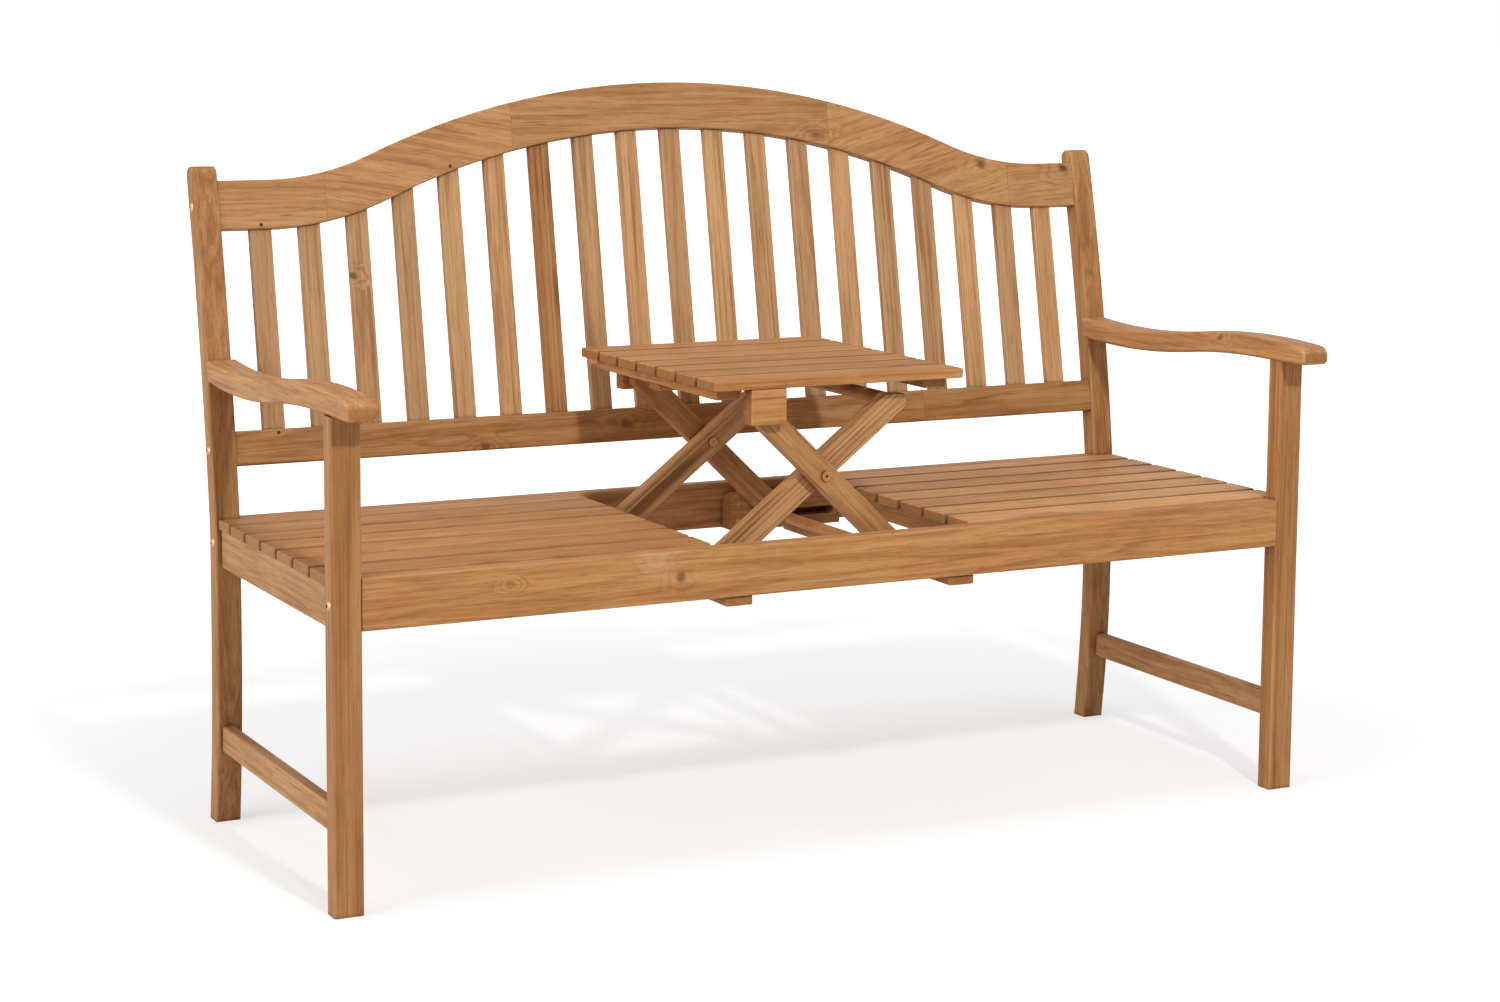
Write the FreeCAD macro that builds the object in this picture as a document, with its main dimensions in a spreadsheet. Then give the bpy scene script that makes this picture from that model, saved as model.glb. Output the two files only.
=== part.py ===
"""Companion seat bench: an acacia garden bench whose middle place holds a folding table.

The bench stands on the floor, +Z up and +Y towards the back.  All sizes are millimetres.  The sheet
holds the driving sizes.  Expressions below it work out where each piece goes, measured from the left
end (across), from the front face of the front legs (back) and from the floor (up).  place() then
moves a piece so that the origin lies under the middle of the whole bench.
"""
import FreeCAD, Part
import os
import Sketcher

doc = FreeCAD.newDocument("companion_bench")
sheet = doc.addObject("Spreadsheet::Sheet", "sizes")

SIZES = (
    ("overall_length", "1500", "outer face of the left legs to outer face of the right legs"),
    ("seat_height", "437", "top of the seat slats and of the lowered table"),
    ("seat_depth", "486", "front of the front legs to the front of the back posts"),
    ("leg_width", "40", "front leg along the bench"),
    ("leg_thickness", "29", "front leg from front to back"),
    ("leg_height", "643", "floor to the underside of the arm"),
    ("post_width", "36", "back post along the bench"),
    ("post_thickness", "31", "back post from front to back"),
    ("post_height", "924", "floor to the rounded top of a back post"),
    ("foot_curve_top", "260", "height where the foot of a back post starts to sweep back"),
    ("foot_curve_radius", "1988", "sweep of the foot, front edge"),
    ("knee_height", "390", "height where a back post starts to lean"),
    ("knee_radius", "500", "bend of the post above the seat, front edge"),
    ("knee_angle", "6.84", "lean of the post where that bend ends"),
    ("post_curve_radius", "3817", "long bend of the upper post, front edge"),
    ("post_top_radius", "13", "rounding of the top of a back post"),
    ("corner_rounding", "3", "rounded edges of the heavy timbers"),
    ("arm_rounding", "5", "rounded long edges of the arm rests"),
    ("upright_rounding", "2", "rounded edges of the upright back slats"),
    ("folding_rounding", "1.5", "rounded edges of the folding arms and the lath"),
    ("slat_rounding", "2.5", "rounded edges of slats and rails"),
    ("arm_width", "45", "arm rest along the bench"),
    ("arm_thickness", "31", "arm rest from top to underside"),
    ("arm_overhang", "60", "arm rest in front of the front legs"),
    ("arm_flat_end", "60", "where the flat underside over the leg ends"),
    ("arm_dip_place", "400", "where the underside of the arm is lowest"),
    ("arm_dip", "22", "how far the underside drops from the leg to there"),
    ("arm_nose_radius", "16", "rounded upper front edge of the arm"),
    ("arm_lip_radius", "8", "rounded lower front edge of the arm"),
    ("seat_rail_height", "69", "front and back seat rails"),
    ("front_rail_thickness", "25", "front seat rail"),
    ("back_rail_thickness", "23", "back seat rail"),
    ("back_rail_setback", "1", "back seat rail behind the front of the posts"),
    ("side_rail_thickness", "25", "side seat rails"),
    ("side_rail_height", "55", "side seat rails"),
    ("side_rail_inset", "8", "side seat rails inside the outer face of the legs"),
    ("seat_edge_inset", "3", "seat slats inside the ends of the bench"),
    ("slat_thickness", "14", "seat slats and table slats"),
    ("seat_slat_gap", "9", "gap between two seat slats"),
    ("front_slat_gap", "12", "gap between the front rail and the first slat"),
    ("rear_slat_width", "46", "the narrower slat at the back of the seat"),
    ("rear_slat_gap", "2", "gap between that slat and the back rail"),
    ("bearer_thickness", "22", "bearers under the inner slat ends"),
    ("bearer_height", "34", "bearers under the inner slat ends"),
    ("bearer_setback", "30", "bearers behind the inner slat ends"),
    ("stretcher_inset", "7", "side stretchers inside the outer face of the legs"),
    ("stretcher_thickness", "17", "side stretchers"),
    ("stretcher_height", "37", "side stretchers"),
    ("stretcher_level", "104", "floor to the underside of the side stretchers"),
    ("tenon_wall", "1.5", "wood between the tenons of the side timbers and the front bolts"),
    ("tenon_thickness", "9", "stub tenons of the side timbers along the bench"),
    ("tenon_shoulder", "7", "shoulder above and below those tenons"),
    ("joinery_gap", "0.1", "room round a tenon in its mortise"),
    ("cross_batten_width", "40", "battens under the middle of the seat"),
    ("cross_batten_thickness", "14", "battens under the middle of the seat"),
    ("cross_batten_front_inset", "6", "battens behind the face of the front rail"),
    ("cross_batten_back_inset", "5", "battens in front of the back of the back rail"),
    ("back_rail_centre", "530.5", "height of the middle of the lower back rail"),
    ("back_rail_height", "49", "lower back rail"),
    ("back_timber_thickness", "25", "lower back rail and crest rail"),
    ("crest_end_centre", "868", "height of the middle of the crest rail at the posts"),
    ("crest_width", "70", "crest rail from lower to upper edge"),
    ("crest_rise", "136", "how far the crest rail climbs from the posts to its middle"),
    ("crest_end_flat", "70", "straight part of the crest rail beside each post"),
    ("crest_sweep_radius", "430", "hollow curve of the crest rail, middle line"),
    ("back_slat_width", "32", "upright slats of the back"),
    ("back_slat_thickness", "12", "upright slats of the back"),
    ("back_slat_margin", "80", "end of the bench to the first upright slat"),
    ("back_slat_tenon", "12", "upright slats let into the two rails"),
    ("table_height", "655", "top of the raised table"),
    ("table_length", "388", "table along the bench"),
    ("table_gap", "8", "gap at each end of the lowered table"),
    ("table_slat_gap", "8.25", "gap between two table slats"),
    ("table_edge_gap", "11", "lowered table behind the front rail and before the back rail"),
    ("table_batten_width", "36", "two battens under the table"),
    ("table_batten_thickness", "15", "two battens under the table"),
    ("table_batten_end_inset", "14", "battens inside the ends of the table"),
    ("table_batten_edge_inset", "24", "battens inside the front and back edge of the table"),
    ("inner_angle", "37.6", "slope of the inner folding arms when the table is up"),
    ("outer_angle", "43.6", "slope of the outer folding arms when the table is up"),
    ("inner_lower_length", "202.4", "inner arm from the bench pivot to the crossing"),
    ("folding_arm_thickness", "22.6", "folding arms from front to back"),
    ("layer_gap", "0.4", "gap between boards that turn beside each other"),
    ("arm_floor_gap", "4", "folding arms above the cross battens"),
    ("arm_table_gap", "1", "folding arms under the table battens when folded"),
    ("arm_tip_cut", "10", "flat cut on the inner arm above its tip centre"),
    ("hinge_block_width", "54", "blocks that hang the table on the outer arms"),
    ("hinge_block_thickness", "22", "those blocks from front to back"),
    ("hinge_block_drop", "15.5", "those blocks below their pivot"),
    ("hinge_block_wall", "5", "wood of those blocks in front of the hidden hinge pin"),
    ("table_hinge_inset", "83", "table hinge from the left end of the table"),
    ("pivot_block_width", "35", "blocks that carry the inner arms"),
    ("pivot_radius", "4", "pivot bolts"),
    ("pivot_clearance", "0.05", "radial play of a pivot bolt in its hole"),
    ("pivot_head_radius", "7", "heads and nuts of the pivot bolts"),
    ("pivot_head_height", "3.6", "heads and nuts of the pivot bolts"),
    ("face_gap", "0.3", "between a head or nut and the board that turns under it"),
    ("socket_radius", "2.6", "hexagon socket in the bolt heads, across its corners"),
    ("socket_depth", "2", "hexagon socket in the bolt heads"),
    ("rod_radius", "4", "ends of the slide bar, through the feet of the outer arms"),
    ("bar_radius", "8.5", "slide bar between the folding arms"),
    ("bar_shoulder_gap", "2", "thick part of the slide bar short of the inner arms"),
    ("rod_end_gap", "5", "slide bar short of the seat rails"),
    ("slot_play", "2", "room above and below the slide bar in its slot"),
    ("slot_wall", "2", "wood left between the slot and the seat rail"),
    ("slot_run_out", "3", "slot past the slide bar at both ends of its travel"),
    ("track_left_margin", "74", "track board left of the slide bar when the table is up"),
    ("track_right_margin", "20", "track board right of the slide bar when the table is down"),
    ("track_top_gap", "1", "track boards under the table slats"),
    ("track_corner_radius", "16", "rounded upper corner of a track board"),
    ("cross_rod_radius", "9.5", "round stretcher between the inner arms"),
    ("cross_rod_tenon_radius", "6", "its ends in the arms"),
    ("cross_rod_tenon_length", "14", "its ends in the arms"),
    ("runner_width", "32", "lath under the table that rides on the round stretcher"),
    ("runner_gap", "0.5", "between that lath and the round stretcher"),
    ("bolt_radius", "4", "bolts that hold the frame"),
    ("bolt_bite", "40", "those bolts in the end of a rail"),
    ("bolt_head_radius", "6.5", "dome heads of those bolts"),
    ("bolt_head_height", "3", "dome heads of those bolts"),
    ("bolt_play", "0.1", "radial room round frame bolts and screws"),
    ("screw_radius", "2", "screws of the track boards"),
    ("screw_head_radius", "4.5", "heads of those screws"),
    ("screw_head_height", "2.6", "heads of those screws"),
    ("screw_sink", "0.3", "head below the face of the board"),
    ("screw_bite", "14", "screws in the seat rail"),
    ("screw_inset", "12", "screws from the left end of a track board"),
    ("screw_spread", "28", "between the two screws of a track board"),
)
SEAT_SLATS = 7
TABLE_SLATS = 7
BACK_SLATS = 19

for row, (alias, amount, meaning) in enumerate(SIZES, start=1):
    sheet.set(f"A{row}", alias)
    sheet.set(f"B{row}", amount)
    sheet.set(f"C{row}", meaning)
    sheet.setAlias(f"B{row}", alias)
doc.recompute()

# Expressions that several pieces share, written with the names of the sheet.
LENGTH = "sizes.overall_length"
MIDDLE = f"{LENGTH} / 2"
SEAT_TOP = "sizes.seat_height"
SLAT_BOTTOM = f"({SEAT_TOP} - sizes.slat_thickness)"
RAIL_BOTTOM = f"({SEAT_TOP} - sizes.seat_rail_height)"
RAIL_CENTRE = f"({SEAT_TOP} - sizes.seat_rail_height / 2)"
BACK_RAIL_FRONT = "(sizes.seat_depth + sizes.back_rail_setback)"
BACK_RAIL_REAR = f"({BACK_RAIL_FRONT} + sizes.back_rail_thickness)"
WELL_MIDDLE = f"((sizes.front_rail_thickness + {BACK_RAIL_FRONT}) / 2)"
FIRST_SLAT = "(sizes.front_rail_thickness + sizes.front_slat_gap)"
REAR_SLAT = f"({BACK_RAIL_FRONT} - sizes.rear_slat_gap - sizes.rear_slat_width)"
SEAT_PITCH = f"(({REAR_SLAT} - {FIRST_SLAT}) / {SEAT_SLATS - 1})"

# The long bend of the back posts: centre and front edge, then the lean of the whole back.
KNEE_BACK = "(sizes.seat_depth + sizes.knee_radius * (1 - cos(sizes.knee_angle)))"
KNEE_UP = "(sizes.knee_height + sizes.knee_radius * sin(sizes.knee_angle))"
BEND_BACK = f"({KNEE_BACK} + sizes.post_curve_radius * cos(sizes.knee_angle))"
BEND_UP = f"({KNEE_UP} - sizes.post_curve_radius * sin(sizes.knee_angle))"


def on_post(height, depth):
    """Distance back of a line inside the upper post, depth behind its front edge."""
    reach = f"(sizes.post_curve_radius - {depth})"
    return f"({BEND_BACK} - sqrt({reach} ^ 2 - ({height} - {BEND_UP}) ^ 2))"


POST_CENTRE_LOW = on_post("sizes.back_rail_centre", "sizes.post_thickness / 2")
POST_CENTRE_HIGH = on_post("sizes.crest_end_centre", "sizes.post_thickness / 2")
BACK_SPAN = "(sizes.crest_end_centre - sizes.back_rail_centre)"
LEAN_RUN = f"({POST_CENTRE_HIGH} - {POST_CENTRE_LOW})"
SLOPE_LENGTH = f"sqrt({LEAN_RUN} ^ 2 + {BACK_SPAN} ^ 2)"
LEAN_SIN = f"({LEAN_RUN} / {SLOPE_LENGTH})"
LEAN_COS = f"({BACK_SPAN} / {SLOPE_LENGTH})"
LEAN_ANGLE = f"(atan({LEAN_RUN} / {BACK_SPAN}))"

# The crest rail in its own plane: across from the middle of the bench, up from the lower back rail.
CREST_HALF = "(sizes.crest_width / 2)"
CREST_END = f"({MIDDLE} - sizes.post_width)"
CREST_BEND = f"({CREST_END} - sizes.crest_end_flat)"
CREST_CENTRES = (f"(({CREST_BEND} ^ 2 + sizes.crest_rise ^ 2) / (2 * sizes.crest_rise))")
CREST_ARCH = f"({CREST_CENTRES} - sizes.crest_sweep_radius)"
CREST_TOP = f"({SLOPE_LENGTH} + sizes.crest_rise + {CREST_HALF})"
REAR_REACH = (f"({POST_CENTRE_LOW} + ({CREST_TOP} - sizes.slat_rounding) * {LEAN_SIN}"
              f" + (sizes.back_timber_thickness / 2 - sizes.slat_rounding) * {LEAN_COS}"
              f" + sizes.slat_rounding)")
PLAN_MIDDLE = f"(({REAR_REACH} - sizes.arm_overhang) / 2)"

# The folding table.
FOLDING_ARM_DEPTH = ("(sizes.seat_rail_height - sizes.slat_thickness - sizes.table_batten_thickness"
                     " - sizes.arm_floor_gap - sizes.arm_table_gap)")
PIVOT_UP = f"({RAIL_BOTTOM} + sizes.arm_floor_gap + {FOLDING_ARM_DEPTH} / 2)"
LIFT = "(sizes.table_height - sizes.seat_height)"
CROSSING_RISE = "(sizes.inner_lower_length * sin(sizes.inner_angle))"
OUTER_LOWER = f"({CROSSING_RISE} / sin(sizes.outer_angle))"
OUTER_UPPER = f"(({LIFT} - {CROSSING_RISE}) / sin(sizes.outer_angle))"
INNER_UPPER = f"(({LIFT} - {CROSSING_RISE}) / sin(sizes.inner_angle))"
TABLE_LOW_LEFT = f"({MIDDLE} - sizes.table_length / 2)"
PIVOT_ACROSS = (f"({TABLE_LOW_LEFT} + sizes.table_hinge_inset"
                f" - sizes.inner_lower_length + {OUTER_UPPER})")
CROSSING_ACROSS = f"({PIVOT_ACROSS} + sizes.inner_lower_length * cos(sizes.inner_angle))"
CROSSING_UP = f"({PIVOT_UP} + {CROSSING_RISE})"
HINGE_ACROSS = f"({CROSSING_ACROSS} - {OUTER_UPPER} * cos(sizes.outer_angle))"
HINGE_UP = f"({PIVOT_UP} + {LIFT})"
ROD_ACROSS = f"({CROSSING_ACROSS} + {OUTER_LOWER} * cos(sizes.outer_angle))"
ROD_LOW_ACROSS = f"({PIVOT_ACROSS} + sizes.inner_lower_length + {OUTER_LOWER})"
TIP_ACROSS = f"({CROSSING_ACROSS} + {INNER_UPPER} * cos(sizes.inner_angle))"
TABLE_LEFT = f"({HINGE_ACROSS} - sizes.table_hinge_inset)"
TABLE_SLAT_BOTTOM = "(sizes.table_height - sizes.slat_thickness)"
TABLE_BATTEN_BOTTOM = f"({TABLE_SLAT_BOTTOM} - sizes.table_batten_thickness)"
TABLE_FRONT = "(sizes.front_rail_thickness + sizes.table_edge_gap)"
TABLE_DEPTH = f"({BACK_RAIL_FRONT} - sizes.table_edge_gap - {TABLE_FRONT})"
TABLE_PITCH = f"(({TABLE_DEPTH} + sizes.table_slat_gap) / {TABLE_SLATS})"
OUTER_LAYER = f"({TABLE_FRONT} + sizes.hinge_block_thickness + sizes.layer_gap)"
INNER_LAYER = f"({OUTER_LAYER} + sizes.folding_arm_thickness + sizes.layer_gap)"
INNER_FACE = f"({INNER_LAYER} + sizes.folding_arm_thickness)"
OPENING_EDGE = f"({TABLE_LOW_LEFT} - sizes.table_gap)"
BATTEN_LEFT = f"({PIVOT_ACROSS} - sizes.pivot_block_width / 2)"

# What the tests below count as parallel, as lying in one plane (mm) and as a cut (cubic mm).
PARALLEL = 0.999
IN_PLANE = 0.01
LEAST_CUT = 1
FULL_TURN = 360
QUARTER_TURN = "90"

part_nodes = []


def number(expression):
    """Value that an expression has now, for the first place of sketch points."""
    amount = sheet.evalExpression(expression)
    return float(getattr(amount, "Value", amount))


def from_right(across):
    """The same place measured from the other end of the bench."""
    return f"({LENGTH} - {across})"


def from_back(back):
    """The same place mirrored about the middle of the seat well."""
    return f"(2 * {WELL_MIDDLE} - {back})"


def place(thing, across, back, up, axis=None, angle=None):
    """Put a piece at a place of the bench, turned about an axis by an angle in degrees."""
    if axis:
        turn = FreeCAD.Rotation(FreeCAD.Vector(*axis), number(angle))
        thing.Placement = FreeCAD.Placement(FreeCAD.Vector(), turn)
        thing.setExpression("Placement.Rotation.Angle", angle)
    thing.setExpression("Placement.Base.x", f"{across} - {MIDDLE}")
    thing.setExpression("Placement.Base.y", f"{back} - {PLAN_MIDDLE}")
    thing.setExpression("Placement.Base.z", up)


def new_body(name):
    """Empty body that may hold several separate solids."""
    body = doc.addObject("PartDesign::Body", name)
    body.Label = name
    body.AllowCompound = True
    return body


def new_sketch(body, name, plane, offset=None):
    """Sketch on one of the body's own origin planes, moved along its normal by offset."""
    sketch = body.newObject("Sketcher::SketchObject", name)
    features = body.Origin.OriginFeatures
    sketch.AttachmentSupport = [([f for f in features if f.Role == plane][0], "")]
    sketch.MapMode = "FlatFace"
    if offset:
        sketch.setExpression("AttachmentOffset.Base.z", offset)
    return sketch


def bind(sketch, entries):
    """Add constraints whose values follow expressions."""
    for kind, geometry, point, expression in entries:
        amount = number(expression)
        if kind == "Radius":
            index = sketch.addConstraint(Sketcher.Constraint(kind, geometry, amount))
        else:
            index = sketch.addConstraint(Sketcher.Constraint(kind, geometry, point, amount))
        sketch.setExpression(f"Constraints[{index}]", expression)


def outline(sketch, points, arcs=None):
    """Closed outline through points given as pairs of expressions.

    arcs maps the number of a side to its radius and to the side on which its centre lies.
    """
    arcs = arcs or {}
    spots = [FreeCAD.Vector(number(across), number(up), 0) for across, up in points]
    ends = []
    for side, start in enumerate(spots):
        stop = spots[(side + 1) % len(spots)]
        if side not in arcs:
            ends.append((sketch.addGeometry(Part.LineSegment(start, stop)), 1, 2))
            continue
        radius, hand = arcs[side]
        reach = number(radius)
        chord = stop - start
        left = FreeCAD.Vector(-chord.y, chord.x, 0).normalize()
        height = max(reach ** 2 - (chord.Length / 2) ** 2, 0) ** 0.5
        centre = (start + stop) / 2 + left * (height if hand == "left" else -height)
        first, last = (start, stop) if hand == "left" else (stop, start)
        circle = Part.Circle(centre, FreeCAD.Vector(0, 0, 1), reach)
        arc = Part.ArcOfCircle(circle, circle.parameter(first), circle.parameter(last))
        ends.append((sketch.addGeometry(arc),) + ((1, 2) if hand == "left" else (2, 1)))
    for side, (geometry, head, tail) in enumerate(ends):
        following, start_point, _ = ends[(side + 1) % len(ends)]
        sketch.addConstraint(Sketcher.Constraint("Coincident", geometry, tail, following, start_point))
        across, up = points[side]
        bind(sketch, [("DistanceX", geometry, head, across), ("DistanceY", geometry, head, up)])
        if side in arcs:
            bind(sketch, [("Radius", geometry, None, arcs[side][0])])


def rectangle(sketch, across, up, width, height):
    """Rectangle with its lower left corner at (across, up)."""
    right = f"({across} + {width})"
    top = f"({up} + {height})"
    outline(sketch, [(across, up), (right, up), (right, top), (across, top)])


def circle(sketch, across, up, radius):
    """Circle about a point of the sketch."""
    spot = FreeCAD.Vector(number(across), number(up), 0)
    geometry = sketch.addGeometry(Part.Circle(spot, FreeCAD.Vector(0, 0, 1), number(radius)))
    bind(sketch, [("DistanceX", geometry, 3, across), ("DistanceY", geometry, 3, up),
                  ("Radius", geometry, None, radius)])


def pad(body, sketch, length, forward=True, both_ways=False):
    """Thicken a sketch along its normal, against it or evenly both ways."""
    feature = body.newObject("PartDesign::Pad", f"{sketch.Name}_pad")
    feature.Profile = sketch
    feature.Reversed = not forward
    feature.Midplane = both_ways
    feature.setExpression("Length", length)
    doc.recompute()
    return feature


def pocket(body, sketch, depth=None, along_normal=False, both_ways=False):
    """Cut a sketch into the body: to a depth one way or evenly both ways, or right through."""
    before = body.Shape.Volume
    feature = body.newObject("PartDesign::Pocket", f"{sketch.Name}_cut")
    feature.Profile = sketch
    if depth:
        feature.Reversed = along_normal
        feature.Midplane = both_ways
        feature.setExpression("Length", depth)
    else:
        feature.Midplane = True
        feature.Type = "ThroughAll"
    doc.recompute()
    if feature.Shape.Volume > before - LEAST_CUT:
        raise RuntimeError(f"{feature.Name} cuts nothing")
    return feature


def soften(body, base, radius, wanted):
    """Round the edges of a feature that the test wanted picks."""
    names = [f"Edge{place}" for place, edge in enumerate(base.Shape.Edges, start=1) if wanted(edge)]
    feature = body.newObject("PartDesign::Fillet", f"{base.Name}_round")
    feature.Base = (base, names)
    feature.setExpression("Radius", radius)
    doc.recompute()
    return feature


def runs_along(*axes):
    """Test for straight edges along any of the axes x, y and z."""

    def wanted(edge):
        if not isinstance(edge.Curve, Part.Line):
            return False
        direction = edge.tangentAt(edge.FirstParameter)
        return any(abs(getattr(direction, axis)) > PARALLEL for axis in axes)
    return wanted


def lies_across(edge):
    """Whether an edge lies in one plane square to X."""
    return edge.BoundBox.XLength < IN_PLANE


def lies_on_face(edge):
    """Whether an edge lies in one plane square to Y."""
    return edge.BoundBox.YLength < IN_PLANE


def board(name, length, depth, height, rounding="sizes.slat_rounding", along="xyz"):
    """Plain board from its own origin, with rounded edges along the axes named."""
    body = new_body(name)
    sketch = new_sketch(body, f"{name}_plan", "XY_Plane")
    rectangle(sketch, "0", "0", length, depth)
    blank = pad(body, sketch, height)
    if along:
        soften(body, blank, rounding, runs_along(*along))
    return body


def keep(thing):
    """Remember a finished sub-part, which is written under its label."""
    part_nodes.append(thing)
    return thing


# Fasteners, each turned about its own Z axis with the underside of its head at zero.

def turned(name, profile, dome=None):
    """Solid of revolution about Z from a half outline of (radius, height) expressions."""
    body = new_body(name)
    sketch = new_sketch(body, f"{name}_half", "XZ_Plane")
    outline(sketch, profile, dome)
    feature = body.newObject("PartDesign::Revolution", f"{name}_turn")
    feature.Profile = sketch
    feature.ReferenceAxis = (sketch, ["V_Axis"])
    feature.Angle = FULL_TURN
    doc.recompute()
    return body


def drive_socket(body, top):
    """Hexagon socket sunk from the top of a bolt head."""
    hexagon = new_sketch(body, f"{body.Name}_socket", "XY_Plane", top)
    outline(hexagon, [(f"(sizes.socket_radius * cos({60 * corner}))",
                       f"(sizes.socket_radius * sin({60 * corner}))") for corner in range(6)])
    pocket(body, hexagon, "sizes.socket_depth")
    return body


def dome_bolt(name, length):
    """Frame bolt: a low dome head with a socket, on a plain shank of the given length."""
    head_radius = "sizes.bolt_head_radius"
    head_height = "sizes.bolt_head_height"
    dome = f"(({head_radius} ^ 2 + {head_height} ^ 2) / (2 * {head_height}))"
    body = turned(name, [("0", f"-({length})"), ("sizes.bolt_radius", f"-({length})"),
                         ("sizes.bolt_radius", "0"), (head_radius, "0"), ("0", head_height)],
                  {3: (dome, "left")})
    return drive_socket(body, head_height)


def pivot_bolt(name):
    """Pivot bolt: head with a socket, shank through an inner and an outer arm or block, and a nut."""
    grip = f"({INNER_FACE} - {OUTER_LAYER} + sizes.face_gap)"
    shank = "sizes.pivot_radius"
    wide = "sizes.pivot_head_radius"
    tall = "sizes.pivot_head_height"
    low = f"-({grip} + {tall})"
    body = turned(name, [("0", tall), ("0", low), (wide, low), (wide, f"-({grip})"), (shank, f"-({grip})"),
                         (shank, "0"), (wide, "0"), (wide, tall)])
    return drive_socket(body, tall)


def hinge_pin(name):
    """Headless pin, hidden in a hinge block and flush with the inner face of the outer arm."""
    pin = doc.addObject("Part::Cylinder", name)
    pin.setExpression("Radius", "sizes.pivot_radius")
    pin.setExpression("Height", f"{HINGE_HOLE} + sizes.layer_gap + sizes.folding_arm_thickness"
                      " - 2 * sizes.face_gap")
    return pin


def wood_screw(name, length):
    """Screw with a flat head, its top at zero."""
    head = "sizes.screw_head_height"
    return turned(name, [("0", "0"), ("0", f"-({length})"), ("sizes.screw_radius", f"-({length})"),
                         ("sizes.screw_radius", f"-({head})"), ("sizes.screw_head_radius", f"-({head})"),
                         ("sizes.screw_head_radius", "0")])


def group(name, pieces):
    """One node that holds several separate fasteners."""
    compound = doc.addObject("Part::Compound", name)
    compound.Label = name
    compound.Links = pieces
    return keep(compound)


BOLT_HOLE = "(sizes.bolt_radius + sizes.bolt_play)"
PIVOT_HOLE = "(sizes.pivot_radius + sizes.pivot_clearance)"
HINGE_HOLE = "(sizes.hinge_block_thickness - sizes.hinge_block_wall)"
SIDE_RAIL_BOTTOM = f"({SLAT_BOTTOM} - sizes.side_rail_height)"
POST_MIDDLE = "(sizes.seat_depth + sizes.post_thickness / 2)"
TENON_LENGTH = ("(sizes.leg_thickness - sizes.front_rail_thickness / 2 - sizes.bolt_radius"
                " - sizes.tenon_wall)")
POST_BOLTS = ((POST_MIDDLE, RAIL_CENTRE),
              (POST_CENTRE_LOW, "sizes.back_rail_centre"),
              (POST_CENTRE_HIGH, "sizes.crest_end_centre"))
TRACK_BACK = "sizes.front_rail_thickness"
TRACK_THICKNESS = f"({OUTER_LAYER} - sizes.layer_gap - {TRACK_BACK})"
TRACK_ACROSS = f"({ROD_ACROSS} - sizes.track_left_margin)"
TRACK_LENGTH = f"({ROD_LOW_ACROSS} + sizes.track_right_margin - {TRACK_ACROSS})"
TRACK_HEIGHT = f"({SLAT_BOTTOM} - sizes.track_top_gap - {RAIL_BOTTOM})"
SCREW_ACROSS = f"({TRACK_ACROSS} + sizes.screw_inset)"
SCREW_LEVELS = tuple(f"(({TRACK_HEIGHT} {sign} sizes.screw_spread) / 2)" for sign in "-+")


def foot_front(height):
    """Front edge of the swept foot of a back post at a height below the upright part."""
    foot = "sizes.foot_curve_radius"
    return f"(sizes.seat_depth + {foot} - sqrt({foot} ^ 2 - (sizes.foot_curve_top - {height}) ^ 2))"


REAR_TENON_END = f"(sizes.seat_depth + {TENON_LENGTH})"


def mortises(body, face, left, timber, forward):
    """Blind mortises for the side rail and the side stretcher in a leg or a post."""
    for tag, inset, thickness, level, height in (
            ("rail", "sizes.side_rail_inset", "sizes.side_rail_thickness", SIDE_RAIL_BOTTOM,
             "sizes.side_rail_height"),
            ("stretcher", "sizes.stretcher_inset", "sizes.stretcher_thickness", "sizes.stretcher_level",
             "sizes.stretcher_height")):
        outer = f"({inset} + ({thickness} - sizes.tenon_thickness) / 2)"
        across = outer if left else f"({timber} - {outer} - sizes.tenon_thickness)"
        start = face if forward else f"({face} - sizes.tenon_thickness)"
        sketch = new_sketch(body, f"{body.Name}_{tag}_mortise", "XZ_Plane", f"-({start})")
        rectangle(sketch, f"({across} - sizes.joinery_gap)",
                  f"({level} + sizes.tenon_shoulder - sizes.joinery_gap)",
                  "(sizes.tenon_thickness + 2 * sizes.joinery_gap)",
                  f"({height} - 2 * sizes.tenon_shoulder + 2 * sizes.joinery_gap)")
        depth = f"({TENON_LENGTH} + sizes.joinery_gap)"
        pocket(body, sketch, depth if forward else f"({depth} + sizes.tenon_thickness)",
               along_normal=forward)


def front_leg(name, left):
    """Straight front leg with a bolt hole for the front rail and mortises for the side timbers."""
    body = board(name, "sizes.leg_width", "sizes.leg_thickness", "sizes.leg_height",
                 "sizes.corner_rounding", "z")
    hole = new_sketch(body, f"{name}_hole", "YZ_Plane")
    circle(hole, "(sizes.front_rail_thickness / 2)", RAIL_CENTRE, BOLT_HOLE)
    pocket(body, hole)
    mortises(body, "sizes.leg_thickness", left, "sizes.leg_width", forward=True)
    place(body, "0" if left else f"({LENGTH} - sizes.leg_width)", "0", "0")
    return keep(body)


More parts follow.
